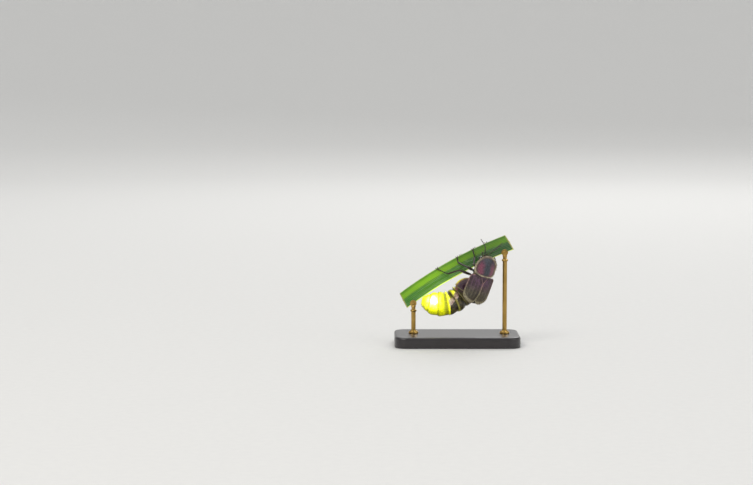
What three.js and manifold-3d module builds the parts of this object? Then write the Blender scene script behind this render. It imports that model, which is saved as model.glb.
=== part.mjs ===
// A firefly hanging from a cut length of grass blade, held up by a small display stand.
// Millimetres, +Z up. X runs along the blade to the right and Y away from the viewer.
// The origin is the middle of the base's underside.

import * as THREE from 'three';
import { mergeVertices } from 'three/addons/utils/BufferGeometryUtils.js';
import Module from 'manifold-3d';

const wasm = await Module();
wasm.setup();

const degrees = THREE.MathUtils.degToRad;
const lerp = THREE.MathUtils.lerp;
const smoothstep = THREE.MathUtils.smoothstep;
const point = (x, y, z) => new THREE.Vector3(x, y, z);

// Gap between parts that touch
const SEAM = 0.3;

// Pose of the body: place of the pronotum's hind edge, and three turns of the body
const BODY_PLACE = point(4.95, -3.3, 14.2);
const BODY_LEAN = degrees(19);
const BODY_PITCH = degrees(-4);
const BODY_ROLL = degrees(62);

// Pronotum, the shield over the head
const PRONOTUM_LENGTH = 4.1;
const PRONOTUM_WIDTH = 4.85;
const PRONOTUM_REAR = 1.5;
const PRONOTUM_CROWN = 1.15;
const PRONOTUM_RIM = 0.14;
const PRONOTUM_PLATE = 0.5;

// Elytra, the two wing cases
const ELYTRON_LENGTH = 5.6;
const ELYTRON_WIDTH = 2.75;
const ELYTRON_CROWN = 1.3;
const ELYTRON_PLATE = 0.5;
const ELYTRON_LIP = 0.12;
const SPLAY_LEFT = degrees(2.5);
const SPLAY_RIGHT = degrees(-1.5);
const SCUTELLUM_WIDTH = 1.1;
const SCUTELLUM_LENGTH = 1.0;

// Head and eyes
const HEAD_PLACE = point(0, 2.85, -1.03);
const HEAD_WIDTH = 2.2;
const HEAD_LENGTH = 1.7;
const HEAD_HEIGHT = 1.3;
const EYE_RADIUS = 0.56;
const EYE_SPREAD = 0.9;

// Thorax, from behind the head to the root of the abdomen
const THORAX_FRONT = 1.5;
const THORAX_LENGTH = 2.95;
const THORAX_WIDTH = 3.6;
const THORAX_HEIGHT = 1.85;
const THORAX_LEVEL = -0.68;

// Abdomen: half widths and half heights at shares of its length, and where its segments end
const ABDOMEN_WIDE = [
  [0, 1.15], [0.136, 2.15], [0.317, 2.6], [0.544, 2.45], [0.707, 2.4], [0.82, 2.2], [0.9, 1.75],
  [0.96, 1.1], [1, 0.5],
];
const ABDOMEN_TALL = [
  [0, 0.9], [0.136, 1.65], [0.317, 2.3], [0.454, 2.35], [0.544, 2.3], [0.635, 2.35], [0.717, 2.4],
  [0.82, 2.2], [0.9, 1.7], [0.96, 1.1], [1, 0.5],
];
const SEGMENT_ENDS = [0, 0.127, 0.254, 0.381, 0.499, 0.608, 0.74, 0.875, 1];
const SEGMENT_STEP = 0.1;
const ABDOMEN_SIDES = 28;
const SEGMENT_OVERLAP = 0.1;

// Legs and antennae
const COXA_RADIUS = 0.37;
const FEMUR_RADIUS = 0.38;
const TIBIA_RADIUS = 0.27;
const TARSUS_RADIUS = 0.25;
const CLAW_RADIUS = 0.2;
const TARSUS_JOINTS = 4;
const ANTENNA_RADIUS = 0.27;
const ANTENNA_JOINTS = 10;

// Grass blade: a strip with a shallow fold along its middle
const BLADE_START = point(-10.7, 0, 8.8);
const BLADE_LENGTH = 24.2;
const BLADE_HALF_WIDTH = 1.65;
const BLADE_PLATE = 0.5;
const BLADE_FOLD = 0.5;
const BLADE_SLOPE_START = degrees(37);
const BLADE_SLOPE_END = degrees(21);
const BLADE_TWIST = degrees(10);

// Display stand
const BASE_LENGTH = 25;
const BASE_DEPTH = 14;
const BASE_HEIGHT = 2.2;
const BASE_CORNER = 2.4;
const BASE_BEVEL = 0.4;
const ROD_RADIUS = 0.5;
const ROD_FOOT_RADIUS = 1.0;
const ROD_FOOT_HEIGHT = 0.5;
const CLIP_RADIUS = 0.95;
const CLIP_HEIGHT = 2.0;
const ROD_STATIONS = { left: 1.3, right: 22.6 };

// Finishes
const finish = (color, roughness, metalness = 0) =>
  new THREE.MeshStandardMaterial({ color, roughness, metalness });
const SHIELD = finish(0x8a6a66, 0.5);
const CASE = finish(0x2e2228, 0.55);
const BODY = finish(0x3a2c28, 0.6);
const PLEURA = finish(0x9a7a70, 0.6);
const LIMB = finish(0x241c1a, 0.5);
const EYE = finish(0x0c0a0c, 0.15);
const GLOW = new THREE.MeshStandardMaterial({ color: 0xe8f060, roughness: 0.4, emissive: 0xd8f020 });
const TAIL = finish(0xd8c890, 0.5);
const GRASS = finish(0x4f9a22, 0.5);
const PLINTH = finish(0x2a2a2c, 0.4);
const ROD = finish(0xb09a60, 0.3, 1);

// Closed solids

// Leaves only the vertices' places, and turns the faces outwards.
function closed(geometry) {
  geometry.deleteAttribute('normal');
  geometry.deleteAttribute('uv');
  const merged = mergeVertices(geometry, 1e-5);
  const p = merged.attributes.position;
  const corner = [point(0, 0, 0), point(0, 0, 0), point(0, 0, 0)];
  const faces = [];
  let volume = 0;
  for (let i = 0; i < merged.index.count; i += 3) {
    const ids = [0, 1, 2].map((k) => merged.index.getX(i + k));
    if (new Set(ids).size < 3) continue;
    corner.forEach((c, k) => c.fromBufferAttribute(p, ids[k]));
    volume += corner[0].dot(corner[1].clone().cross(corner[2]));
    faces.push(ids);
  }
  merged.setIndex(faces.flatMap(([a, b, c]) => (volume < 0 ? [a, c, b] : [a, b, c])));
  return merged;
}

// Moves each vertex of a plain geometry to the place that the function gives.
function reshape(geometry, place) {
  const merged = closed(geometry);
  const p = merged.attributes.position;
  const vertex = point(0, 0, 0);
  for (let i = 0; i < p.count; i += 1) {
    const moved = place(vertex.fromBufferAttribute(p, i));
    p.setXYZ(i, moved.x, moved.y, moved.z);
  }
  return closed(merged);
}

function toManifold(geometry) {
  const mesh = closed(geometry.clone());
  return new wasm.Manifold(new wasm.Mesh({
    numProp: 3,
    vertProperties: new Float32Array(mesh.attributes.position.array),
    triVerts: new Uint32Array(mesh.index.array),
  }));
}

// Turns a solid back into a geometry, and keeps only its largest closed surface.
function toGeometry(solid) {
  const pieces = solid.decompose().sort((a, b) => b.volume() - a.volume());
  const { vertProperties, triVerts } = pieces[0].getMesh();
  const geometry = new THREE.BufferGeometry();
  geometry.setAttribute('position', new THREE.BufferAttribute(vertProperties, 3));
  geometry.setIndex(Array.from(triVerts));
  return geometry;
}

const join = (geometries) =>
  toGeometry(geometries.map(toManifold).reduce((whole, piece) => whole.add(piece)));

const cut = (geometry, ...tools) =>
  toGeometry(tools.map(toManifold).reduce((whole, tool) => whole.subtract(tool), toManifold(geometry)));

// Value of a smooth curve through [share, value] knots.
function profile(knots, share) {
  const last = knots.length - 1;
  const at = knots.findIndex(([end]) => share <= end);
  if (at === 0) return knots[0][1];
  if (at < 0) return knots[last][1];
  const [u0, v0] = knots[at - 1];
  const [u1, v1] = knots[at];
  return lerp(v0, v1, smoothstep(share, u0, u1) * 0.5 + ((share - u0) / (u1 - u0)) * 0.5);
}

// A spindle from one point to another with rounded ends: a limb's segment.
function spindle(from, to, startRadius, middleRadius, endRadius, sides = 8) {
  const length = from.distanceTo(to);
  const outline = [
    [0, -startRadius * 0.7],
    [startRadius, 0],
    [middleRadius, length * 0.45],
    [endRadius, length],
    [0, length + endRadius * 0.7],
  ];
  const turned = new THREE.LatheGeometry(outline.map(([r, z]) => new THREE.Vector2(r, z)), sides);
  const along = to.clone().sub(from).normalize();
  turned.applyQuaternion(new THREE.Quaternion().setFromUnitVectors(point(0, 1, 0), along));
  turned.translate(from.x, from.y, from.z);
  return closed(turned);
}

// An ellipsoid about a place.
function ellipsoid(place, width, length, height, around = 20, up = 12) {
  const ball = new THREE.SphereGeometry(0.5, around, up);
  ball.rotateX(Math.PI / 2);
  ball.scale(width, length, height);
  ball.translate(place.x, place.y, place.z);
  return closed(ball);
}

// The insect's own frame: X to its right, Y forward to the head, Z up through its back.
function bodyFrame() {
  const sideways = point(Math.cos(BODY_LEAN), 0, -Math.sin(BODY_LEAN));
  const upright = point(Math.sin(BODY_LEAN), 0, Math.cos(BODY_LEAN));
  const away = point(0, 1, 0);
  const forward = upright.clone().multiplyScalar(Math.cos(BODY_PITCH))
    .addScaledVector(away, Math.sin(BODY_PITCH));
  const inward = away.clone().multiplyScalar(Math.cos(BODY_PITCH))
    .addScaledVector(upright, -Math.sin(BODY_PITCH));
  const back = sideways.multiplyScalar(Math.cos(BODY_ROLL))
    .addScaledVector(inward, -Math.sin(BODY_ROLL));
  const right = forward.clone().cross(back);
  return new THREE.Matrix4().makeBasis(right, forward, back);
}

const object = new THREE.Group();
const insect = new THREE.Group();
insect.position.copy(BODY_PLACE);
insect.quaternion.setFromRotationMatrix(bodyFrame());
object.add(insect);
object.updateMatrixWorld(true);

function add(group, name, geometry, material) {
  const mesh = new THREE.Mesh(geometry, material);
  mesh.name = name;
  group.add(mesh);
}

const inBody = (x, y, z) => insect.worldToLocal(point(x, y, z));

// Grass blade

function bladeCentre(station) {
  const slope = lerp(BLADE_SLOPE_START, BLADE_SLOPE_END, station / BLADE_LENGTH / 2);
  return BLADE_START.clone().add(point(station * Math.cos(slope), 0, station * Math.sin(slope)));
}

// A place on the blade: station along it, -1 to 1 from its lower to its upper edge,
// and the distance from its middle sheet towards the viewer.
function bladePlace(station, across, lift, grow = 0) {
  const slope = lerp(BLADE_SLOPE_START, BLADE_SLOPE_END, station / BLADE_LENGTH);
  const twist = BLADE_TWIST * (station / BLADE_LENGTH - 0.4);
  const half = across * (BLADE_HALF_WIDTH + grow);
  const fold = BLADE_FOLD * (1 - Math.sqrt(across * across + 0.02));
  const upward = point(-Math.sin(slope), 0, Math.cos(slope));
  const rise = half * Math.cos(twist) + lift * Math.sin(twist);
  const depth = fold + half * Math.sin(twist) - lift * Math.cos(twist);
  return bladeCentre(station).addScaledVector(upward, rise).add(point(0, depth, 0));
}

function blade(grow = 0) {
  const strip = new THREE.BoxGeometry(1, 1, 1, 22, 8, 1);
  return reshape(strip, (v) => {
    const across = v.y * 2;
    const station = (v.x + 0.5) * (BLADE_LENGTH + 2 * grow) - grow;
    const plate = BLADE_PLATE * (1 - 0.3 * Math.abs(across)) + 2 * grow;
    return bladePlace(station, across, v.z * plate, grow);
  });
}

// Display stand

function base() {
  const across = BASE_LENGTH / 2 - BASE_BEVEL;
  const deep = BASE_DEPTH / 2 - BASE_BEVEL;
  const corner = BASE_CORNER - BASE_BEVEL;
  const outline = new THREE.Shape();
  outline.moveTo(-across + corner, -deep);
  outline.lineTo(across - corner, -deep);
  outline.absarc(across - corner, -deep + corner, corner, -Math.PI / 2, 0);
  outline.lineTo(across, deep - corner);
  outline.absarc(across - corner, deep - corner, corner, 0, Math.PI / 2);
  outline.lineTo(-across + corner, deep);
  outline.absarc(-across + corner, deep - corner, corner, Math.PI / 2, Math.PI);
  outline.lineTo(-across, -deep + corner);
  outline.absarc(-across + corner, -deep + corner, corner, Math.PI, 1.5 * Math.PI);
  const slab = new THREE.ExtrudeGeometry(outline, {
    depth: BASE_HEIGHT - 2 * BASE_BEVEL,
    bevelThickness: BASE_BEVEL,
    bevelSize: BASE_BEVEL,
    bevelSegments: 2,
    curveSegments: 6,
  });
  slab.translate(0, 0, BASE_BEVEL);
  return closed(slab);
}

// A rod with a foot on the base and a split clip that takes the blade's lower edge.
function rod(station) {
  const grip = bladePlace(station, -0.9, 0);
  const bottom = BASE_HEIGHT + SEAM;
  const clipTop = grip.z + CLIP_HEIGHT / 2;
  const outline = [
    [0, bottom],
    [ROD_FOOT_RADIUS, bottom],
    [ROD_FOOT_RADIUS * 0.9, bottom + ROD_FOOT_HEIGHT],
    [ROD_RADIUS, bottom + ROD_FOOT_HEIGHT],
    [ROD_RADIUS, clipTop - CLIP_HEIGHT - 0.5],
    [CLIP_RADIUS, clipTop - CLIP_HEIGHT],
    [CLIP_RADIUS, clipTop],
    [0, clipTop],
  ];
  const turned = new THREE.LatheGeometry(outline.map(([r, z]) => new THREE.Vector2(r, z)), 20);
  turned.rotateX(Math.PI / 2);
  turned.translate(grip.x, grip.y, 0);
  return cut(closed(turned), blade(SEAM * 1.3));
}

// Shield and wing cases

// Half-height of the shield's outline at a direction about its centre, as a share of 1.
function shieldOutline(angle) {
  const halfWidth = PRONOTUM_WIDTH / 2;
  const front = Math.sin(angle) > 0;
  const reach = front ? PRONOTUM_LENGTH - PRONOTUM_REAR : PRONOTUM_REAR;
  const power = front ? 2.15 : 3.2;
  const sum = Math.abs(Math.cos(angle) / halfWidth) ** power + Math.abs(Math.sin(angle) / reach) ** power;
  return sum ** (-1 / power);
}

// Height of the shield: highest at its hind edge, where the wing cases begin.
function shieldHeight(share, x, y) {
  const lateral = 1 - Math.min(1, Math.abs(x) / (PRONOTUM_WIDTH / 2)) ** 2.2;
  const lengthwise = 1 - 0.95 * Math.max(0, y / PRONOTUM_LENGTH) ** 2;
  return PRONOTUM_CROWN * lateral * lengthwise + PRONOTUM_RIM * smoothstep(share, 0.82, 1);
}

function pronotum() {
  const ball = new THREE.SphereGeometry(1, 36, 18);
  ball.rotateX(Math.PI / 2);
  return reshape(ball, (v) => {
    const share = Math.min(1, Math.hypot(v.x, v.y));
    const angle = Math.atan2(v.y, v.x);
    const reach = share * shieldOutline(angle);
    const x = reach * Math.cos(angle);
    const y = PRONOTUM_REAR + reach * Math.sin(angle);
    const half = (PRONOTUM_PLATE / 2) * Math.min(1, Math.abs(v.z) * 2.6) * Math.sign(v.z);
    return point(x, y, shieldHeight(share, x, y) - PRONOTUM_PLATE / 2 + half);
  });
}

// Outer edge of a wing case, from its shoulder (0) to its tip (1).
function caseOuter(along) {
  const shoulder = 1 - 0.08 * (1 - smoothstep(along, 0, 0.1));
  const tip = along < 0.68 ? 1 : Math.sqrt(Math.max(0, 1 - (((along - 0.68) / 0.335) ** 2.4)));
  return ELYTRON_WIDTH * shoulder * tip * (1 + 0.03 * Math.sin(Math.PI * along));
}

// Inner edge: it makes room for the scutellum, runs straight, and rounds off at the tip.
function caseInner(along) {
  const beside = 1 - smoothstep(along * ELYTRON_LENGTH, 0, SCUTELLUM_LENGTH + 0.5);
  const notch = (SCUTELLUM_WIDTH / 2 + SEAM * 1.4) * beside;
  const tip = 0.55 * Math.max(0, (along - 0.86) / 0.14) ** 2;
  return SEAM / 2 + notch + tip;
}

function caseHeight(across, along) {
  const lengthwise = lerp(0.86, 1, smoothstep(along, 0, 0.25)) * (1 - 0.45 * smoothstep(along, 0.55, 1));
  const dome = ELYTRON_CROWN * lengthwise * (1 - Math.min(1, across / ELYTRON_WIDTH) ** 2.4);
  return dome + ELYTRON_LIP * smoothstep(across / ELYTRON_WIDTH, 0.86, 1);
}

function elytron(side, splay) {
  const sheet = new THREE.BoxGeometry(1, 1, 1, 8, 18, 1);
  const shape = reshape(sheet, (v) => {
    const along = 0.5 - v.y;
    const inner = caseInner(along);
    const outer = Math.max(caseOuter(along), inner + 0.3);
    const across = lerp(inner, outer, v.x + 0.5);
    const plate = v.z > 0 ? 0 : ELYTRON_PLATE;
    return point(side * across, -SEAM - along * ELYTRON_LENGTH, caseHeight(across, along) - plate);
  });
  const hinge = point(side * 1.2, -SEAM, 0);
  shape.translate(-hinge.x, -hinge.y, 0);
  shape.rotateZ(side * splay);
  shape.translate(hinge.x, hinge.y, 0);
  return shape;
}

function scutellum() {
  const outline = new THREE.Shape();
  const half = SCUTELLUM_WIDTH / 2;
  outline.moveTo(-half, 0);
  outline.quadraticCurveTo(-half * 0.8, -SCUTELLUM_LENGTH * 0.7, 0, -SCUTELLUM_LENGTH);
  outline.quadraticCurveTo(half * 0.8, -SCUTELLUM_LENGTH * 0.7, half, 0);
  outline.closePath();
  const plate = new THREE.ExtrudeGeometry(outline, {
    depth: ELYTRON_PLATE,
    bevelEnabled: false,
    curveSegments: 5,
  });
  plate.translate(0, -SEAM, ELYTRON_CROWN * 0.88 - ELYTRON_PLATE);
  return closed(plate);
}

// Head and thorax

const eyePlace = (side) => HEAD_PLACE.clone().add(point(side * EYE_SPREAD, 0.12, -0.08));

function head() {
  const skull = ellipsoid(HEAD_PLACE, HEAD_WIDTH, HEAD_LENGTH, HEAD_HEIGHT, 20, 14);
  const mouth = HEAD_PLACE.clone().add(point(0, HEAD_LENGTH * 0.42, -HEAD_HEIGHT * 0.3));
  const pieces = [skull, ellipsoid(mouth, 1.0, 0.7, 0.6, 12, 8)];
  for (const side of [-1, 1]) {
    const root = mouth.clone().add(point(side * 0.3, 0.05, -0.1));
    const bend = root.clone().add(point(side * 0.3, 0.35, -0.3));
    const end = bend.clone().add(point(-side * 0.05, 0.38, -0.08));
    pieces.push(spindle(root, bend, 0.2, 0.22, 0.18, 7));
    pieces.push(spindle(bend, end, 0.18, 0.24, 0.12, 7));
    const jaw = mouth.clone().add(point(side * 0.22, 0.2, 0));
    pieces.push(spindle(jaw, jaw.clone().add(point(-side * 0.14, 0.34, 0)), 0.18, 0.15, 0.05, 7));
  }
  const whole = join(pieces);
  const cups = [-1, 1].map((side) => new THREE.SphereGeometry(EYE_RADIUS + SEAM, 16, 12)
    .translate(...eyePlace(side).toArray()));
  const neck = new THREE.BoxGeometry(4, 2, 4).translate(0, THORAX_FRONT + SEAM - 1, 0);
  const sockets = [-1, 1].map((side) => new THREE.SphereGeometry(ANTENNA_RADIUS + SEAM * 1.2, 10, 8)
    .translate(...antennaRoot(side).toArray()));
  return cut(whole, ...cups, neck, ...sockets);
}

function eye(side) {
  return ellipsoid(eyePlace(side), EYE_RADIUS * 2, EYE_RADIUS * 2.1, EYE_RADIUS * 2, 16, 10);
}

// Half width, half height and middle level of the thorax, from its front (0) to its rear (1).
function thoraxSection(along) {
  const girth = profile([[0, 0.7], [0.25, 0.84], [0.5, 0.98], [0.7, 0.98], [1, 0.78]], along);
  return { wide: (THORAX_WIDTH / 2) * girth, tall: (THORAX_HEIGHT / 2) * girth, level: THORAX_LEVEL };
}

function thorax() {
  const barrel = new THREE.CylinderGeometry(1, 1, 1, 24, 8);
  return reshape(barrel, (v) => {
    const along = 0.5 - v.y;
    const { wide, tall, level } = thoraxSection(along);
    return point(v.x * wide, THORAX_FRONT - along * THORAX_LENGTH, level + v.z * tall);
  });
}

// Middle of a coxa, set against the underside of the thorax.
function hipPlace(x, y) {
  const { wide, tall, level } = thoraxSection((THORAX_FRONT - y) / THORAX_LENGTH);
  const underside = level - tall * Math.sqrt(1 - (x / wide) ** 2);
  return point(x, y, underside - SEAM * 1.2 - COXA_RADIUS);
}

// Abdomen: it leaves the thorax, passes under the left wing case and curls round to the
// left, turning so that the lantern on its underside looks up and towards the viewer.

const ABDOMEN_ROOT = point(0, THORAX_FRONT - THORAX_LENGTH - SEAM * 2.8, THORAX_LEVEL);
const abdomenPath = new THREE.CatmullRomCurve3([
  ABDOMEN_ROOT,
  ABDOMEN_ROOT.clone().add(point(-0.15, -0.7, -0.4)),
  inBody(2.15, -1.3, 11.65),
  inBody(0.85, -1.15, 9.95),
  inBody(-1.2, -1.7, 8.65),
  inBody(-3.8, -1.9, 8.35),
  inBody(-7.25, -1.95, 8.95),
]);
const ROOT_BACK = point(0, 0, 1);
const TIP_BACK = inBody(...BODY_PLACE.clone().add(point(0.2, 0.45, -0.87)).toArray());

// The cross-section at a share of the length, moved on along its own direction by a shift.
function abdomenSection(share, shift) {
  const along = abdomenPath.getTangentAt(share);
  const centre = abdomenPath.getPointAt(share).addScaledVector(along, shift);
  const back = ROOT_BACK.clone().lerp(TIP_BACK, smoothstep(share, 0.045, 0.726)).normalize();
  back.addScaledVector(along, -back.dot(along)).normalize();
  const across = along.clone().cross(back);
  return { centre, back, across, wide: profile(ABDOMEN_WIDE, share), tall: profile(ABDOMEN_TALL, share) };
}

// One length of the abdomen. Each segment widens to its hind edge and is wrapped on its own,
// because its rings cross on the inner side of the bend. It starts a little inside the one in
// front. Two lengths meet at one cross-section, moved half a seam each way, and the first one
// is cut flat behind the thorax.
function abdomenLength(first, last) {
  const segments = [];
  for (let segment = first; segment < last; segment += 1) {
    const opens = segment === first;
    const closes = segment === last - 1;
    const rings = [opens ? 0 : -SEGMENT_OVERLAP, 0.3, 0.6, 0.84, 1].flatMap((part, k) => {
      const swell = 1 - SEGMENT_STEP * (1 - smoothstep(part, 0, 0.8)) - (part === 1 ? 0.03 : 0);
      const share = lerp(SEGMENT_ENDS[segment], SEGMENT_ENDS[segment + 1], part);
      const shift = (opens && segment > 0 && k === 0 ? SEAM / 2 : 0) - (closes && part === 1 ? SEAM / 2 : 0);
      return abdomenRing(share, swell, shift);
    });
    segments.push(wasm.Manifold.hull(rings));
  }
  const front = abdomenSection(SEGMENT_ENDS[first], first > 0 ? SEAM / 2 : 0.05);
  const along = front.back.clone().cross(front.across);
  const whole = segments.reduce((joined, segment) => joined.add(segment));
  return toGeometry(first > 0 ? whole : whole.trimByPlane(along.toArray(), along.dot(front.centre)));
}

// Points round the abdomen's cross-section, swollen by a factor.
function abdomenRing(share, swell, shift) {
  const { centre, back, across, wide, tall } = abdomenSection(share, shift);
  return Array.from({ length: ABDOMEN_SIDES }, (_, side) => {
    const angle = (2 * Math.PI * side) / ABDOMEN_SIDES;
    return centre.clone()
      .addScaledVector(across, Math.sin(angle) * wide * swell)
      .addScaledVector(back, Math.cos(angle) * tall * swell)
      .toArray();
  });
}

// Legs: hip in the body's frame, the rest in the world, with claws over the blade's edge.

const HIPS = { front: [0.7, 1.14], middle: [0.8, 0.18], hind: [0.8, -0.76] };
const LEG_PATHS = {
  left: {
    front: { knee: point(3.2, -3.0, 16.4), ankle: point(3.5, -1.25, 17.6), station: 17.0 },
    middle: { knee: point(1.9, -2.6, 15.85), ankle: point(0.15, -1.2, 16.6), station: 13.6 },
    hind: { knee: point(0.4, -2.6, 15.2), ankle: point(-1.9, -1.1, 14.3), station: 9.1 },
  },
  right: {
    front: { knee: point(7.0, 0.3, 15.6), ankle: point(7.7, 1.9, 17.1), station: 19.9 },
    middle: { knee: point(6.4, 0.9, 14.7), ankle: point(6.0, 1.8, 16.6), station: 17.4 },
    hind: { knee: point(4.9, 1.3, 13.6), ankle: point(3.9, 1.9, 15.5), station: 14.4 },
  },
};

function leg(side, pair) {
  const { knee, ankle, station } = LEG_PATHS[side][pair];
  const [hipAcross, hipAlong] = HIPS[pair];
  const hip = hipPlace(side === 'left' ? -hipAcross : hipAcross, hipAlong);
  const near = side === 'left' ? 1 : -1;
  const clear = BLADE_PLATE / 2 + SEAM + TARSUS_RADIUS;
  const toe = bladePlace(station, 0.84, near * clear);
  const over = bladePlace(station - 0.25, 1.34, near * clear * 0.7);
  const hook = bladePlace(station - 0.35, 1.42, 0);
  const path = [knee, ankle, toe, over, hook].map((p) => inBody(p.x, p.y, p.z));
  const [kneeIn, ankleIn, toeIn, overIn, hookIn] = path;
  const outward = kneeIn.clone().sub(hip).normalize();
  const trochanter = hip.clone().addScaledVector(outward, 0.55);
  const pieces = [
    spindle(hip, trochanter, COXA_RADIUS * 0.8, COXA_RADIUS, COXA_RADIUS * 0.7),
    spindle(trochanter, kneeIn, FEMUR_RADIUS * 0.75, FEMUR_RADIUS, FEMUR_RADIUS * 0.7),
    spindle(kneeIn, ankleIn, TIBIA_RADIUS * 0.95, TIBIA_RADIUS, TIBIA_RADIUS),
  ];
  for (let joint = 0; joint < TARSUS_JOINTS; joint += 1) {
    const from = ankleIn.clone().lerp(toeIn, joint / TARSUS_JOINTS);
    const to = ankleIn.clone().lerp(toeIn, (joint + 1) / TARSUS_JOINTS);
    pieces.push(spindle(from, to, TARSUS_RADIUS * 0.85, TARSUS_RADIUS * 0.95, TARSUS_RADIUS, 7));
  }
  pieces.push(spindle(toeIn, overIn, CLAW_RADIUS * 1.1, CLAW_RADIUS, CLAW_RADIUS, 7));
  pieces.push(spindle(overIn, hookIn, CLAW_RADIUS, CLAW_RADIUS * 0.8, CLAW_RADIUS * 0.4, 7));
  return join(pieces);
}

// Antennae: strings of short joints from under the shield's front edge

function antennaRoot(side) {
  return HEAD_PLACE.clone().add(point(side * 0.36, HEAD_LENGTH * 0.5 + 0.05, 0.08));
}

function antenna(side) {
  const root = antennaRoot(side);
  const bend = root.clone().add(point(side * 0.25, 0.85, -0.1));
  const middle = side < 0 ? inBody(5.5, -2.35, 19.9) : inBody(7.6, -2.1, 19.3);
  const end = side < 0 ? inBody(4.7, -1.7, 21.3) : inBody(9.0, -1.9, 20.6);
  const route = new THREE.CatmullRomCurve3([root, bend, middle, end]);
  const pieces = [];
  for (let joint = 0; joint < ANTENNA_JOINTS; joint += 1) {
    const from = route.getPointAt(joint / ANTENNA_JOINTS);
    const to = route.getPointAt((joint + 1) / ANTENNA_JOINTS);
    const radius = ANTENNA_RADIUS * lerp(1, 0.7, joint / ANTENNA_JOINTS);
    pieces.push(spindle(from, to, radius * 0.75, radius * 0.9, radius, 7));
  }
  return join(pieces);
}

// Assembly

add(object, 'perch_blade', blade(), GRASS);
add(object, 'stand_base', base(), PLINTH);
add(object, 'stand_rod_left', rod(ROD_STATIONS.left), ROD);
add(object, 'stand_rod_right', rod(ROD_STATIONS.right), ROD);

add(insect, 'pronotum', pronotum(), SHIELD);
add(insect, 'elytron_left', elytron(-1, SPLAY_LEFT), CASE);
add(insect, 'elytron_right', elytron(1, SPLAY_RIGHT), CASE);
add(insect, 'scutellum', scutellum(), CASE);
add(insect, 'head', head(), LIMB);
add(insect, 'thorax', thorax(), BODY);
add(insect, 'abdomen_front', abdomenLength(0, 3), PLEURA);
add(insect, 'abdomen_middle', abdomenLength(3, 5), PLEURA);
add(insect, 'lantern_front', abdomenLength(5, 6), GLOW);
add(insect, 'lantern_rear', abdomenLength(6, 7), GLOW);
add(insect, 'abdomen_tip', abdomenLength(7, 8), TAIL);

for (const side of ['left', 'right']) {
  const sign = side === 'left' ? -1 : 1;
  add(insect, `eye_${side}`, eye(sign), EYE);
  add(insect, `antenna_${side}`, antenna(sign), LIMB);
  for (const pair of ['front', 'middle', 'hind']) {
    add(insect, `leg_${pair}_${side}`, leg(side, pair), LIMB);
  }
}

export default object;
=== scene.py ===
"""Looks of a museum model: a firefly hanging from a cut grass blade, on a small display stand.

Sizes are in millimetres, as in the solids, and turn to metres where a mesh is made.
"""

import logging
import math
from dataclasses import dataclass, field
from enum import Enum

import bpy
import numpy as np
from bpy.types import Material, Mesh, NodeSocket, NodeTree, Object
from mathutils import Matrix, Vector


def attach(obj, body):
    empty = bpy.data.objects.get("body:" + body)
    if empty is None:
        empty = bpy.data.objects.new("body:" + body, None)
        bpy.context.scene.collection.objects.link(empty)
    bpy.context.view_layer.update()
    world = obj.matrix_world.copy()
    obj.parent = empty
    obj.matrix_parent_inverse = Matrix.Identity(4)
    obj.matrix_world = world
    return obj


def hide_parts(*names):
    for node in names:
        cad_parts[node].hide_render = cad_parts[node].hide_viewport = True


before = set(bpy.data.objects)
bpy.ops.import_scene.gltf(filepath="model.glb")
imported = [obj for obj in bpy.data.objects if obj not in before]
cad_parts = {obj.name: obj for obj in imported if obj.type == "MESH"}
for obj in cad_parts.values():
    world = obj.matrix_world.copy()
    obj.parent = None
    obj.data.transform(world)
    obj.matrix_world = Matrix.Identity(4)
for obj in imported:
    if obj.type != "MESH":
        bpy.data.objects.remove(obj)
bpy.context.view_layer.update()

Array = np.ndarray
MM = 0.001
LOG = logging.getLogger("firefly")

# Photograph's frame, and the scale and place of the model in it
PHOTO_WIDTH, PHOTO_HEIGHT = 753, 485
PIXELS_PER_MM = 5.0
PIXEL_OF_ORIGIN = (457.0, 345.0)

# Down and bristles in millimetres, drawn a little thicker than real ones, so that they show
HAIR_LENGTH = 0.24
HAIR_WIDTH = 0.016
BRISTLE_WIDTH = 0.024
HAIR_VARIES = (0.7, 1.2)


class Side(Enum):
    """A side of the insect, as the sign of X in its own frame."""

    LEFT = -1
    RIGHT = 1

    @property
    def word(self) -> str:
        """The side's name in lower case."""
        return self.name.lower()


class Pair(Enum):
    """A pair of legs, as the place of its hips across and along the thorax."""

    FRONT = (0.7, 1.14)
    MIDDLE = (0.8, 0.18)
    HIND = (0.8, -0.76)

    @property
    def word(self) -> str:
        """The pair's name in lower case."""
        return self.name.lower()


# Curves and numbers


def ease(value: Array, low: float, high: float) -> Array:
    """Rises smoothly from 0 at low to 1 at high."""
    share = np.clip((np.asarray(value, float) - low) / (high - low), 0.0, 1.0)
    return share * share * (3.0 - 2.0 * share)


def bell(value: Array, middle: float, width: float) -> Array:
    """A bell curve of height 1, with the width as its standard deviation."""
    return np.exp(-0.5 * ((np.asarray(value, float) - middle) / width) ** 2)


def profile(knots: tuple, share: Array) -> Array:
    """Value of a smooth curve through (share, value) knots.

    Args:
        knots: Pairs in rising order of share.
        share: Where to read the curve.

    Returns:
        The curve's values.
    """
    ends, values = (np.array(column, float) for column in zip(*knots))
    share = np.clip(np.asarray(share, float), ends[0], ends[-1])
    at = np.clip(np.searchsorted(ends, share), 1, len(ends) - 1)
    part = (share - ends[at - 1]) / (ends[at] - ends[at - 1])
    part = 0.5 * part + 0.5 * part * part * (3.0 - 2.0 * part)
    return values[at - 1] + (values[at] - values[at - 1]) * part


def unit(vectors: Array) -> Array:
    """Vectors of the same direction and length 1."""
    vectors = np.asarray(vectors, float)
    return vectors / np.maximum(np.linalg.norm(vectors, axis=-1, keepdims=True), 1e-12)


def circle(points: int) -> Array:
    """Angles of a number of points round a circle."""
    return np.linspace(0, 2 * math.pi, points, endpoint=False)


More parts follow.
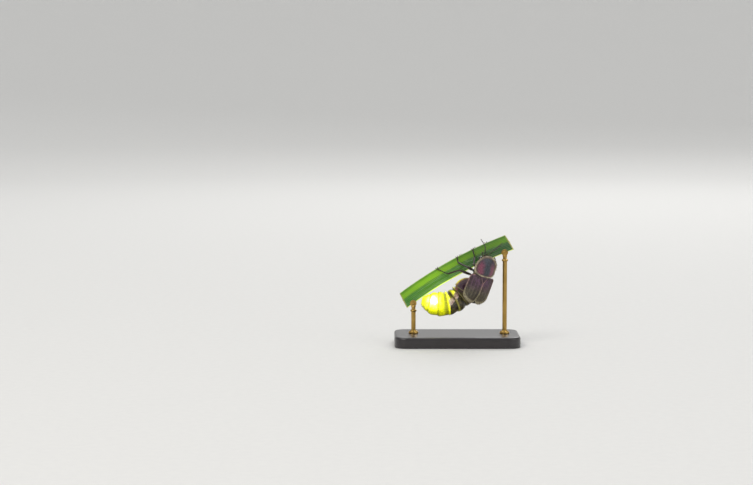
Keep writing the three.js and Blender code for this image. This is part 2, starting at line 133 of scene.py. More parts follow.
def ball(rings: int, around: int, margin: float) -> tuple:
    """X, Y and Z of rings on a ball of radius 1 about the Y axis, open by a margin at its poles."""
    polar, turn = np.linspace(margin, math.pi - margin, rings)[:, None], circle(around)[None, :]
    return np.sin(polar) * np.cos(turn), np.cos(polar) + 0 * turn, np.sin(polar) * np.sin(turn)


class SmoothPath:
    """A centripetal Catmull-Rom curve through points, read by share of its length."""

    STEPS = 60

    def __init__(self, points: list) -> None:
        """Samples the curve.

        Args:
            points: The points that it passes through.
        """
        knots = np.array(points, float)
        knots = np.vstack([2 * knots[0] - knots[1], knots, 2 * knots[-1] - knots[-2]])
        samples = []
        for p0, p1, p2, p3 in zip(knots, knots[1:], knots[2:], knots[3:]):
            gaps = [math.sqrt(np.linalg.norm(b - a)) for a, b in ((p0, p1), (p1, p2), (p2, p3))]
            leave = ((p1 - p0) / gaps[0] - (p2 - p0) / (gaps[0] + gaps[1]) + (p2 - p1) / gaps[1]) * gaps[1]
            enter = ((p2 - p1) / gaps[1] - (p3 - p1) / (gaps[1] + gaps[2]) + (p3 - p2) / gaps[2]) * gaps[1]
            for part in np.linspace(0, 1, self.STEPS, endpoint=False):
                square, cube = part * part, part ** 3
                samples.append(
                    (2 * cube - 3 * square + 1) * p1
                    + (cube - 2 * square + part) * leave
                    + (3 * square - 2 * cube) * p2
                    + (cube - square) * enter
                )
        samples.append(knots[-2])
        self.samples = np.array(samples)
        lengths = np.r_[0, np.cumsum(np.linalg.norm(np.diff(self.samples, axis=0), axis=1))]
        self.length = float(lengths[-1])
        self.shares = lengths / self.length

    def at(self, share: Array) -> Array:
        """Points at shares of the curve's length.

        Args:
            share: Shares from 0 to 1; a little beyond runs straight on.

        Returns:
            One point for each share.
        """
        share = np.atleast_1d(np.asarray(share, float))
        inside = np.clip(share, 0, 1)
        found = np.stack([np.interp(inside, self.shares, self.samples[:, k]) for k in range(3)], axis=-1)
        return found + (share - inside)[:, None] * self.length * self.along(inside)

    def along(self, share: Array) -> Array:
        """Directions of the curve at shares of its length.

        Args:
            share: Shares from 0 to 1.

        Returns:
            One unit vector for each share.
        """
        share = np.atleast_1d(np.asarray(share, float))
        low, high = np.clip(share - 0.01, 0, 1), np.clip(share + 0.01, 0, 1)
        ends = [
            np.stack([np.interp(s, self.shares, self.samples[:, k]) for k in range(3)], axis=-1)
            for s in (low, high)
        ]
        return unit(ends[1] - ends[0])


# Pieces as meshes


class Shape:
    """Closed surfaces gathered into one piece, with named values at their vertices."""

    # How far a plate's rounded rim stands out, as a share of its thickness
    RIM_REACH = 0.35
    # A hair's way along its lie and out of the surface, at its bend and at its tip, as shares of its length
    HAIR_BEND = (0.375, 0.21)
    HAIR_TIP = (0.95, 0.45)
    # Its half width at the root and at the bend, as shares of its width
    HAIR_GIRTHS = (0.5, 0.36)
    HAIR_FACES = ((0, 1, 4, 3), (1, 2, 5, 4), (2, 0, 3, 5), (3, 4, 6), (4, 5, 6), (5, 3, 6), (2, 1, 0))
    HAIR_POINTS = 7
    # Corners of the small patch that each hair takes on the unwrap, and the room that the roots leave for it
    HAIR_PATCH = ((0, 0), (1, 0), (0.5, 1), (0, 0.4), (1, 0.4), (0.5, 0.7), (0.5, 0.5))
    PATCH_SIZE = 0.003
    ROOT_ROOM = 0.99

    def __init__(self) -> None:
        """Starts with nothing."""
        self.points: list = []
        self.faces: list = []
        self.values: dict = {}
        self.roots: list = []
        self.count = 0

    def add(self, points: Array, faces: list, **values: Array) -> None:
        """Adds one closed surface, with its faces turned outwards.

        Args:
            points: Its vertices.
            faces: Its faces, as tuples of vertex numbers.
            **values: A number for each vertex, by name.
        """
        points = np.asarray(points, float).reshape(-1, 3)
        middle = points - points.mean(axis=0)
        fans = np.array([(f[0], f[k], f[k + 1]) for f in faces for k in range(1, len(f) - 1)])
        a, b, c = (middle[fans[:, k]] for k in range(3))
        if np.einsum("ij,ij->i", a, np.cross(b, c)).sum() < 0:
            faces = [tuple(reversed(f)) for f in faces]
        start = self.count
        self.points.append(points)
        self.faces.extend(tuple(start + k for k in f) for f in faces)
        for name, numbers in values.items():
            numbers = np.broadcast_to(numbers, points.shape[:1]).astype(float)
            self.values.setdefault(name, []).append((start, numbers))
        self.count += len(points)

    def tube(self, rings: Array, **values: Array) -> None:
        """Adds a closed tube through rings of points, with a point at the middle of each end.

        Args:
            rings: Points as rings by points around by 3.
            **values: Numbers by name, as rings by points around.
        """
        count, around = rings.shape[:2]
        faces = []
        for low in range(0, (count - 1) * around, around):
            high = low + around
            for k in range(around):
                n = (k + 1) % around
                faces.append((low + k, low + n, high + n, high + k))
        first, last = count * around, count * around + 1
        for k in range(around):
            n = (k + 1) % around
            faces.append((n, k, first))
            faces.append(((count - 1) * around + k, (count - 1) * around + n, last))
        points = np.vstack([rings.reshape(-1, 3), rings[0].mean(axis=0), rings[-1].mean(axis=0)])
        spread = {}
        for name, numbers in values.items():
            numbers = np.broadcast_to(numbers, (count, around))
            spread[name] = np.r_[numbers.ravel(), numbers[0].mean(), numbers[-1].mean()]
        self.add(points, faces, **spread)

    def plate(self, top: Array, bottom: Array, **values: Array) -> None:
        """Adds a thin plate between two grids of points, with a rounded rim.

        Args:
            top: Points of one face, as rows by columns by 3.
            bottom: Points of the other face, in the same order.
            **values: Numbers by name, as rows by columns, the same on both faces.
        """
        rows, columns = top.shape[:2]
        size = rows * columns
        faces = []
        for r in range(rows - 1):
            for c in range(columns - 1):
                a = r * columns + c
                quad = (a, a + 1, a + columns + 1, a + columns)
                faces.append(quad)
                faces.append(tuple(size + k for k in reversed(quad)))
        border = (
            list(range(columns))
            + [r * columns + columns - 1 for r in range(1, rows)]
            + [(rows - 1) * columns + c for c in range(columns - 2, -1, -1)]
            + [r * columns for r in range(rows - 2, 0, -1)]
        )
        flat_top, flat_bottom = top.reshape(-1, 3), bottom.reshape(-1, 3)
        middle = 0.5 * (flat_top[border] + flat_bottom[border])
        inner = middle.mean(axis=0)
        thickness = np.linalg.norm(flat_top[border] - flat_bottom[border], axis=1, keepdims=True)
        rim = middle + unit(middle - inner) * thickness * self.RIM_REACH
        for k, here in enumerate(border):
            n = (k + 1) % len(border)
            there = border[n]
            faces.append((there, here, 2 * size + k, 2 * size + n))
            faces.append((2 * size + n, 2 * size + k, size + here, size + there))
        spread = {}
        for name, numbers in values.items():
            numbers = np.broadcast_to(numbers, (rows, columns)).ravel()
            spread[name] = np.r_[numbers, numbers, numbers[border]]
        self.add(np.vstack([flat_top, flat_bottom, rim]), faces, **spread)

    def hairs(self, roots: Array, lie: Array, rise: Array, length: Array,
              width: float, places: tuple) -> None:
        """Adds tapered hairs that bend from their rise into their lie.

        Args:
            roots: Where they grow.
            lie: Directions in which they lie.
            rise: Directions out of the surface.
            length: Length of each.
            width: Their width at the root.
            places: Columns and rows of the roots on the surface's unwrap, from 0 to 1.
        """
        lie, rise = unit(lie), unit(rise)
        across = unit(np.cross(lie, rise))
        length = np.broadcast_to(length, len(roots))[:, None]
        bend, tip = (
            roots + (over * lie + out * rise) * length for over, out in (self.HAIR_BEND, self.HAIR_TIP)
        )
        rings = []
        for centre, girth in zip((roots - rise * width, bend), self.HAIR_GIRTHS):
            for turn in range(3):
                angle = 2 * math.pi * turn / 3
                rings.append(centre + (math.cos(angle) * across + math.sin(angle) * rise) * (width * girth))
        rings.append(tip)
        start, each = self.count, self.HAIR_POINTS
        self.points.append(np.stack(rings, axis=1).reshape(-1, 3))
        for base in range(start, start + len(roots) * each, each):
            self.faces.extend(tuple(base + k for k in face) for face in self.HAIR_FACES)
        self.roots.append((start, np.repeat(np.stack(places, axis=-1) * self.ROOT_ROOM, each, axis=0)))
        self.count += len(roots) * each

    def build(self, name: str, finish: "Finish", slot: str, replaces: tuple = (),
              sharp: float = 50.0) -> Object:
        """Makes the Blender object, riding on the frame's one body.

        Args:
            name: The piece's name.
            finish: Its finish.
            slot: The record's material slot; not used.
            replaces: CAD nodes that the piece stands for.
            sharp: Angle in degrees past which an edge stays sharp.

        Returns:
            The object.
        """
        mesh = bpy.data.meshes.new(name)
        mesh.from_pydata((np.vstack(self.points) * MM).tolist(), [], self.faces)
        mesh.shade_smooth()
        mesh.set_sharp_from_angle(angle=math.radians(sharp))
        for label, parts in self.values.items():
            numbers = np.zeros(self.count)
            for start, part in parts:
                numbers[start:start + len(part)] = part
            mesh.attributes.new(label, "FLOAT", "POINT").data.foreach_set("value", numbers)
        if self.roots:
            self._unwrap(mesh)
        mesh.validate()
        mesh.materials.append(finish.material())
        piece = bpy.data.objects.new(name, mesh)
        bpy.context.scene.collection.objects.link(piece)
        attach(piece, "root")
        if replaces:
            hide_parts(*replaces)
        LOG.info("%s: %d vertices, %d faces", name, len(mesh.vertices), len(mesh.polygons))
        return piece

    def _unwrap(self, mesh: Mesh) -> None:
        """Gives each hair a small patch at its root's place on the surface's unwrap.

        Args:
            mesh: The mesh of the hairs.
        """
        corners = np.array(self.HAIR_PATCH) * self.PATCH_SIZE
        spots = np.zeros((self.count, 2))
        for start, places in self.roots:
            spots[start:start + len(places)] = places + np.tile(corners, (len(places) // self.HAIR_POINTS, 1))
        layer = mesh.uv_layers.new(name="OFBake")
        order = np.zeros(len(mesh.loops), int)
        mesh.loops.foreach_get("vertex_index", order)
        layer.uv.foreach_set("vector", spots[order].ravel())


def grid_normals(grid: Array) -> Array:
    """Unit normals of a grid of points."""
    return unit(np.cross(np.gradient(grid, axis=0), np.gradient(grid, axis=1)))


def read_grid(grid: Array, rows: Array, columns: Array) -> Array:
    """Values between the points of a grid.

    Args:
        grid: Values as rows by columns by anything.
        rows: Row places, from 0 to 1.
        columns: Column places, from 0 to 1.

    Returns:
        One value for each pair of places.
    """
    # The last point is never quite reached, so that each place has a next one.
    last = 0.9999
    r, c = (np.clip(places, 0, last) * (size - 1) for places, size in zip((rows, columns), grid.shape))
    r0, c0 = r.astype(int), c.astype(int)
    fr, fc = (r - r0)[:, None], (c - c0)[:, None]
    near = grid[r0, c0] * (1 - fc) + grid[r0, c0 + 1] * fc
    far = grid[r0 + 1, c0] * (1 - fc) + grid[r0 + 1, c0 + 1] * fc
    return near * (1 - fr) + far * fr


# Finishes


def linear(colour: str) -> tuple:
    """An sRGB hex colour as linear red, green, blue and alpha."""
    channels = [int(colour[k:k + 2], 16) / 255 for k in (1, 3, 5)]
    return (*(c / 12.92 if c <= 0.04045 else ((c + 0.055) / 1.055) ** 2.4 for c in channels), 1.0)


def add_node(tree: NodeTree, kind: str, inputs: dict | None = None, stops: tuple = (),
             take: str | int = 0, **settings: object) -> NodeSocket:
    """Adds a shader node with its settings and links.

    Args:
        tree: The material's node tree.
        kind: The node's type, without the start that all of them share.
        inputs: For each input, by name or number, an output to link, a value or a hex colour.
        stops: For a colour ramp, pairs of place and colour.
        take: Name or number of the output that is wanted.
        **settings: The node's own properties.

    Returns:
        That output.
    """
    made = tree.nodes.new(f"ShaderNode{kind}")
    for name, value in settings.items():
        setattr(made, name, value)
    for number, (place, colour) in enumerate(stops):
        ramp = made.color_ramp.elements
        stop = ramp[number] if number < len(ramp) else ramp.new(place)
        stop.position = place
        stop.color = colour
    for name, value in (inputs or {}).items():
        if isinstance(value, NodeSocket):
            tree.links.new(value, made.inputs[name])
        else:
            made.inputs[name].default_value = linear(value) if isinstance(value, str) else value
    return made.outputs[take]


def per_metre(size_mm: float) -> float:
    """Scale of a noise whose grains are a size in millimetres."""
    return 1.0 / (size_mm * MM)


@dataclass(frozen=True)
class Finish:
    """A surface finish: a named material of one Principled shader over a pattern."""

    name: str = "finish"
    roughness: float = 0.5
    metallic: float = 0.0
    ior: float = 1.5
    coat: float = 0.0
    coat_roughness: float = 0.03
    sheen: float = 0.0
    sheen_roughness: float = 0.5
    # Share of the light that scatters inside, and how far red, green and blue travel there
    scatter: float = 0.0
    scatter_reach: tuple = (1.0, 0.2, 0.1)
    scatter_mm: float = 0.2
    light: str = "#ffffff"
    light_strength: float = 0.0
    bump: float = 0.2
    bump_depth: float = 0.02

    def material(self) -> Material:
        """Builds the material when it is first asked for.

        Returns:
            The material.
        """
        if self.name in bpy.data.materials:
            return bpy.data.materials[self.name]
        made = bpy.data.materials.new(self.name)
        made.use_nodes = True
        tree = made.node_tree
        shader = tree.nodes["Principled BSDF"]
        for socket, value in (
            ("Roughness", self.roughness), ("Metallic", self.metallic), ("IOR", self.ior),
            ("Coat Weight", self.coat), ("Coat Roughness", self.coat_roughness),
            ("Sheen Weight", self.sheen), ("Sheen Roughness", self.sheen_roughness),
            ("Subsurface Weight", self.scatter), ("Subsurface Radius", self.scatter_reach),
            ("Subsurface Scale", self.scatter_mm * MM),
            ("Emission Color", linear(self.light)), ("Emission Strength", self.light_strength),
        ):
            shader.inputs[socket].default_value = value
        outputs = self.pattern(tree)
        if "Normal" in outputs:
            outputs["Normal"] = add_node(tree, "Bump", {
                "Strength": self.bump, "Distance": self.bump_depth * MM, "Height": outputs["Normal"],
            })
        for socket, output in outputs.items():
            tree.links.new(output, shader.inputs[socket])
        return made

    def pattern(self, tree: NodeTree) -> dict:
        """Adds the nodes and gives outputs by the shader's sockets, the relief's height as Normal."""
        raise NotImplementedError

    @staticmethod
    def lay(tree: NodeTree, under: object, over: object, where: object, reach: tuple,
            cover: tuple = (0.0, 1.0), ragged: tuple = ()) -> NodeSocket:
        """Lays one tone over another where a value passes between two levels.

        Args:
            tree: The material's node tree.
            under: The tone below, as a hex colour or an output.
            over: The tone laid over it, in the same way.
            where: The value, as an output or as the name of a number that the mesh holds.
            reach: The levels between which the tone comes in.
            cover: How much it covers at each of them.
            ragged: An output that breaks up the border, and its strength.

        Returns:
            The new tone.
        """
        if isinstance(where, str):
            where = add_node(tree, "Attribute", take="Fac", attribute_name=where)
        if ragged:
            where = add_node(tree, "Math", {0: ragged[0], 1: ragged[1], 2: where}, operation="MULTIPLY_ADD")
        (low, high), (least, most) = reach, cover
        mask = add_node(tree, "MapRange", {
            "Value": where, "From Min": low, "From Max": high, "To Min": least, "To Max": most,
        }, interpolation_type="SMOOTHSTEP")
        return add_node(tree, "Mix", {0: mask, 6: under, 7: over}, take=2, data_type="RGBA")


@dataclass(frozen=True)
class TwoToneFinish(Finish):
    """A finish of two tones that pass into each other, over a finer relief."""

    first: str = "#000000"
    second: str = "#ffffff"
    # Size in millimetres, detail, roughness and drawing-out of each noise; no relief where the size is 0
    tone: tuple = (1.0, 3.0, 0.5, (1.0, 1.0, 1.0))
    relief: tuple = (0.0, 3.0, 0.5, (1.0, 1.0, 1.0))

    def pattern(self, tree: NodeTree) -> dict:
        """Mixes the two tones by one noise and takes the relief from the other.

        Args:
            tree: The material's node tree.

        Returns:
            Outputs by the shader's sockets.
        """
        place = add_node(tree, "TexCoord", take="Object")
        tone, relief = (
            add_node(tree, "TexNoise", {
                "Vector": add_node(tree, "Mapping", {"Vector": place, "Scale": drawn}),
                "Scale": per_metre(size), "Detail": detail, "Roughness": rough,
            }) if size else None
            for size, detail, rough, drawn in (self.tone, self.relief)
        )
        colour = add_node(tree, "Mix", {0: tone, 6: self.first, 7: self.second}, take=2, data_type="RGBA")
        return {"Base Color": colour, "Normal": relief} if relief else {"Base Color": colour}


@dataclass(frozen=True)
class PuncturedCuticle(Finish):
    """Tanned chitin of the insect's upper side: dark, clouded, and pitted with fine punctures."""

    ior: float = 1.56
    bump_depth: float = 0.05
    clouded: tuple = (0.36, 0.66)
    # Real punctures are about 0.05 mm apart; these are coarser, so that they show.
    puncture_mm: float = 0.17
    spacing_varies: float = 0.85
    pit_slope: tuple = (0.08, 0.5)
    gloss: tuple = (0.34, 0.52)
    mottle_relief: float = 0.8

    def punctures(self, tree: NodeTree, place: NodeSocket, mottle: NodeSocket) -> dict:
        """Adds the punctures, and a gloss that changes with the mottling.

        Args:
            tree: The material's node tree.
            place: The place on the piece.
            mottle: The finer of its two noises.

        Returns:
            Outputs by the shader's sockets.
        """
        pits = add_node(tree, "TexVoronoi", {
            "Vector": place, "Scale": per_metre(self.puncture_mm), "Randomness": self.spacing_varies,
        })
        level, gloss = (
            add_node(tree, "MapRange", {
                "Value": value, "From Min": low, "From Max": high, "To Min": least, "To Max": most,
            }, interpolation_type="SMOOTHSTEP")
            for value, (low, high), (least, most) in (
                (pits, self.pit_slope, (0.0, 1.0)), (mottle, (0.35, 0.65), self.gloss),
            )
        )
        height = add_node(tree, "Math", {0: mottle, 1: self.mottle_relief, 2: level},
                          operation="MULTIPLY_ADD")
        return {"Roughness": gloss, "Normal": height}


@dataclass(frozen=True)
class WingCaseCuticle(PuncturedCuticle):
    """Chitin of the wing cases, sclerotised: satin and dark, pale where it thins at its margins."""

    # Tanned chitin reflects softly and shows a violet tone where it is thick and an olive one behind.
    name: str = "wing case chitin, dark with pale margins"
    roughness: float = 0.42
    coat: float = 0.12
    sheen: float = 0.1
    sheen_roughness: float = 0.4
    bump: float = 0.6
    root: str = "#3f2338"
    root_light: str = "#71486a"
    rear: str = "#3f3b2a"
    rear_light: str = "#6e6950"
    margin_root: str = "#b98f8c"
    margin_rear: str = "#cdc49b"
    speck: str = "#8a7d86"
    clouded: tuple = (0.38, 0.66)
    cloud_mm: float = 1.0
    mottle_mm: float = 0.28

    def pattern(self, tree: NodeTree) -> dict:
        """Adds clouded dark cuticle, paler ribs and margins, and punctures.

        Args:
            tree: The material's node tree.

        Returns:
            Outputs by the shader's sockets.
        """
        place = add_node(tree, "TexCoord", take="Object")
        clouds, mottle = (
            add_node(tree, "TexNoise", {
                "Vector": place, "Scale": per_metre(size), "Detail": detail, "Roughness": rough,
            })
            for size, detail, rough in ((self.cloud_mm, 5.0, 0.55), (self.mottle_mm, 4.0, 0.6))
        )
        root = self.lay(tree, self.root, self.root_light, clouds, self.clouded)
        rear = self.lay(tree, self.rear, self.rear_light, clouds, self.clouded)
        colour, paler_rib_tone, margin = (
            self.lay(tree, front, behind, "along", (0.4, 0.78), ragged=(mottle, 0.25))
            for front, behind in (
                (root, rear), (self.root_light, self.rear_light), (self.margin_root, self.margin_rear),
            )
        )
        # The ribs are laid in the paler tone.
        colour = self.lay(tree, colour, paler_rib_tone, "rib", (0.55, 1.25), (0.0, 0.6), (mottle, 0.5))
        for label in ("rim", "suture"):
            colour = self.lay(tree, colour, margin, label, (1.1, 1.95), (0.92, 0.0), (mottle, 0.9))
        speck = self.lay(tree, self.speck, "#ffffff", mottle, (0.34, 0.6))
        colour = add_node(tree, "Mix", {0: 0.9, 6: colour, 7: speck}, take=2, data_type="RGBA",
                          blend_type="MULTIPLY")
        return {"Base Color": colour, **self.punctures(tree, place, mottle)}


@dataclass(frozen=True)
class ShieldCuticle(PuncturedCuticle):
    """Chitin of the shield: slate-dark in the middle, rosy beside it, thin and horn-clear at the rim."""

    # Thick dark cuticle is glossy; the flange is thin enough for light to soften inside it.
    name: str = "shield chitin, dark and rosy with a clear rim"
    roughness: float = 0.36
    coat: float = 0.15
    scatter: float = 0.12
    scatter_reach: tuple = (1.0, 0.55, 0.35)
    scatter_mm: float = 0.25
    bump: float = 0.55
    slate: str = "#20222e"
    slate_light: str = "#39414f"
    rosy: str = "#6b2a42"
    rosy_light: str = "#96506a"
    brown: str = "#54393e"
    rim: str = "#c9bf9c"
    rim_brown: str = "#7d6a58"
    dark_half_width_mm: float = 0.85
    rosy_half_width_mm: float = 1.75
    puncture_mm: float = 0.16
    spacing_varies: float = 0.9
    pit_slope: tuple = (0.05, 0.45)
    gloss: tuple = (0.28, 0.46)
    mottle_relief: float = 0.6
    cloud_mm: float = 0.7
    mottle_mm: float = 0.22

    def pattern(self, tree: NodeTree) -> dict:
        """Adds the shield's markings and punctures.

        Args:
            tree: The material's node tree.

        Returns:
            Outputs by the shader's sockets.
        """
        place = add_node(tree, "TexCoord", take="Object")
        clouds, mottle = (
            add_node(tree, "TexNoise", {
                "Vector": place, "Scale": per_metre(size), "Detail": 4.0, "Roughness": rough,
            })
            for size, rough in ((self.cloud_mm, 0.55), (self.mottle_mm, 0.6))
        )
        slate = self.lay(tree, self.slate, self.slate_light, mottle, self.clouded)
        rosy = self.lay(tree, self.rosy, self.rosy_light, mottle, self.clouded)
        horn = self.lay(tree, self.rim_brown, self.rim, clouds, (0.36, 0.64))
        dark, flush = self.dark_half_width_mm, self.rosy_half_width_mm
        colour = rosy
        for over, label, reach, cover, ragged in (
            (self.brown, "across", (flush + 0.25, flush + 0.95), (0.0, 1.0), (clouds, 1.3)),
            (slate, "along", (0.78, 1.08), (0.0, 0.9), (clouds, 0.6)),
            (slate, "across", (dark + 0.15, dark + 1.05), (1.0, 0.0), (clouds, 1.3)),
            (self.rim_brown, "share", (0.86, 0.93), (0.0, 1.0), (mottle, 0.1)),
            (horn, "share", (0.925, 0.97), (0.0, 1.0), (mottle, 0.1)),
        ):
            colour = self.lay(tree, colour, over, label, reach, cover, ragged)
        return {"Base Color": colour, **self.punctures(tree, place, mottle)}


@dataclass(frozen=True)
class AbdomenSkin(Finish):
    """Cuticle of head, thorax and abdomen: dark plates, pale hind edges, pinkish skin and lantern."""

    # Plates are tanned and satin, the skin between them is soft and damp-looking, and the light
    # organ is clear cuticle over glowing tissue, brightest at its middle.
    name: str = "body cuticle with pinkish skin and glowing lantern"
    roughness: float = 0.42
    ior: float = 1.52
    coat: float = 0.15
    scatter: float = 0.1
    scatter_reach: tuple = (1.0, 0.6, 0.4)
    bump: float = 0.6
    bump_depth: float = 0.05
    plate: str = "#2e281b"
    plate_light: str = "#5d5336"
    violet: str = "#4a2a40"
    edge: str = "#8f8558"
    skin: str = "#6e2c48"
    skin_light: str = "#9c5470"
    # Paler skin towards the lantern: its own paler tone, with painted lantern light
    skin_pale: str = "#b08a80"
    skin_pale_light: str = "#e0cbbd"
    # Painted shade, laid on the skin at each segment's ends where it tucks under the plates
    crease: str = "#4c3038"
    belly: str = "#54482c"
    lantern: str = "#98970f"
    lantern_back: str = "#55531a"
    speck: str = "#8f8578"
    light_strength: float = 14.0
    # The light that each heat gives: a dull olive glow, then yellow, and nearly white in the middle
    hottest: float = 1.15
    glow: tuple = (
        (0.22, (0.0, 0.0, 0.0)), (0.38, (0.004, 0.0042, 0.0)), (0.52, (0.012, 0.013, 0.0)),
        (0.62, (0.025, 0.027, 0.0)), (0.7, (0.047, 0.05, 0.0)), (0.79, (0.066, 0.069, 0.0)),
        (0.88, (0.14, 0.14, 0.005)), (0.97, (0.3, 0.29, 0.024)), (1.04, (0.5, 0.48, 0.06)),
        (1.12, (1.0, 0.97, 0.4)),
    )
    wrinkle_mm: float = 0.2
    cloud_mm: float = 0.8

    def pattern(self, tree: NodeTree) -> dict:
        """Adds plates, skin, pale edges, painted shade in the skin's creases, and the light organ's glow with
        its light painted on the segments before it.

        Args:
            tree: The material's node tree.

        Returns:
            Outputs by the shader's sockets.
        """
        place = add_node(tree, "TexCoord", take="Object")
        fine, broad = (
            add_node(tree, "TexNoise", {
                "Vector": place, "Scale": per_metre(size), "Detail": detail, "Roughness": rough,
            })
            for size, detail, rough in ((self.wrinkle_mm, 5.0, 0.6), (self.cloud_mm, 3.0, 0.55))
        )
        colour, pink, fair = (
            self.lay(tree, dark, light, broad, (0.36, 0.66))
            for dark, light in (
                (self.plate, self.plate_light), (self.skin, self.skin_light),
                (self.skin_pale, self.skin_pale_light),
            )
        )
        # The skin pales towards the lantern: partly its own tone, partly painted lantern light.
        paling_and_lantern_light = add_node(tree, "Attribute", take="Fac", attribute_name="pale")
        pink = add_node(tree, "Mix", {0: paling_and_lantern_light, 6: pink, 7: fair}, take=2, data_type="RGBA")
        # Of these, the crease tone is painted shade.
        for label, tone in (
            ("front", self.violet), ("belly", self.belly), ("skin", pink), ("crease", self.crease),
            ("edge", self.edge), ("back", self.lantern_back), ("organ", self.lantern),
        ):
            colour = self.lay(tree, colour, tone, label, (0.38, 0.86), ragged=(fine, 0.35))
        speck = self.lay(tree, self.speck, "#ffffff", fine, (0.32, 0.62))
        colour = add_node(tree, "Mix", {0: 0.8, 6: colour, 7: speck}, take=2, data_type="RGBA",
                          blend_type="MULTIPLY")
        # The glow holds the lantern's own light and its light painted on the segments before it.
        heat = add_node(tree, "Attribute", take="Fac", attribute_name="glow")
        for noise, strength in ((fine, 0.2), (broad, 0.24)):
            heat = add_node(tree, "Math", {0: noise, 1: strength, 2: heat}, operation="MULTIPLY_ADD")
        heat = add_node(tree, "Math", {0: heat, 1: 1 / self.hottest}, operation="MULTIPLY")
        stops = tuple((level / self.hottest, (*light, 1.0)) for level, light in self.glow)
        glow = add_node(tree, "ValToRGB", {"Fac": heat}, stops, "Color")
        return {"Base Color": colour, "Emission Color": glow, "Normal": fine}


@dataclass(frozen=True)
class WingMembrane(Finish):
    """Membrane of the flight wings, grown thin and folded: smoky, with darker veins."""

    # The thin film shines in narrow streaks along its folds and is dark over the body beneath.
    name: str = "flight wing membrane, smoky and folded"
    roughness: float = 0.3
    coat: float = 0.25
    ior: float = 1.56
    bump: float = 0.4
    bump_depth: float = 0.03
    film: str = "#241c1e"
    film_light: str = "#463a3a"
    vein: str = "#120d0d"
    fold_mm: float = 0.3

    def pattern(self, tree: NodeTree) -> dict:
        """Adds the film's tone, its veins and its fine folds.

        Args:
            tree: The material's node tree.

        Returns:
            Outputs by the shader's sockets.
        """
        place = add_node(tree, "TexCoord", take="Object")
        folds = add_node(tree, "TexNoise", {"Vector": place, "Scale": per_metre(self.fold_mm), "Detail": 4.0})
        film = self.lay(tree, self.film, self.film_light, folds, (0.36, 0.66))
        colour = self.lay(tree, film, self.vein, "vein", (0.0, 1.0))
        return {"Base Color": colour, "Normal": folds}


@dataclass(frozen=True)
class LimbCuticle(Finish):
    """Chitin of legs, feelers and mouthparts: nearly black, satin, browner where thin."""

    # Hard round limbs give a narrow soft highlight along their length.
    name: str = "limb chitin, dark brown satin"
    roughness: float = 0.36
    coat: float = 0.1
    ior: float = 1.56
    bump: float = 0.35
    bump_depth: float = 0.02
    dark: str = "#1d1513"
    lighter: str = "#3c2a22"
    joint: str = "#7a5a40"
    cloud_mm: float = 0.6
    grain_mm: float = 0.09

    def pattern(self, tree: NodeTree) -> dict:
        """Adds clouding, paler joints and a fine grain.

        Args:
            tree: The material's node tree.

        Returns:
            Outputs by the shader's sockets.
        """
        place = add_node(tree, "TexCoord", take="Object")
        clouds = add_node(tree, "TexNoise", {
            "Vector": place, "Scale": per_metre(self.cloud_mm), "Detail": 4.0,
        })
        body = add_node(tree, "Mix", {0: clouds, 6: self.dark, 7: self.lighter}, take=2, data_type="RGBA")
        colour = self.lay(tree, body, self.joint, "joint", (0.0, 1.0))
        grain = add_node(tree, "TexVoronoi", {"Vector": place, "Scale": per_metre(self.grain_mm)})
        return {"Base Color": colour, "Normal": grain}


@dataclass(frozen=True)
class CompoundEye(Finish):
    """Lens cuticle of a compound eye: black and glossy, with packed facets."""

    # Each lens takes its own glint, so the highlight breaks up into fine grains; the middle of each facet
    # also has a painted glint in its colour.
    name: str = "compound eye, black faceted"
    roughness: float = 0.12
    coat: float = 0.5
    ior: float = 1.6
    bump: float = 0.5
    bump_depth: float = 0.02
    dark: str = "#08070a"
    glint: str = "#2a2024"
    # A little coarser than real facets, so that they show.
    facet_mm: float = 0.07

    def pattern(self, tree: NodeTree) -> dict:
        """Adds domed facets, each painted lighter at its middle as a painted glint.

        Args:
            tree: The material's node tree.

        Returns:
            Outputs by the shader's sockets.
        """
        place = add_node(tree, "TexCoord", take="Object")
        facets = add_node(tree, "TexVoronoi", {
            "Vector": place, "Scale": per_metre(self.facet_mm), "Randomness": 0.25,
        })
        # Each facet's middle is painted lighter: a painted glint.
        colour = add_node(tree, "Mix", {0: facets, 6: self.glint, 7: self.dark}, take=2, data_type="RGBA")
        dome = add_node(tree, "Math", {0: 1.0, 1: facets}, operation="SUBTRACT")
        return {"Base Color": colour, "Normal": dome}


@dataclass(frozen=True)
class FineDown(TwoToneFinish):
    """Insect down: chitin hairs, grown, pale golden brown with a soft shine."""

    # Hairs catch light at their tips and soften the edge of the plates they lie on.
    name: str = "down, golden brown chitin hairs"
    first: str = "#3d3026"
    second: str = "#85705a"
    tone: tuple = (0.8, 3.0, 0.5, (1.0, 1.0, 1.0))


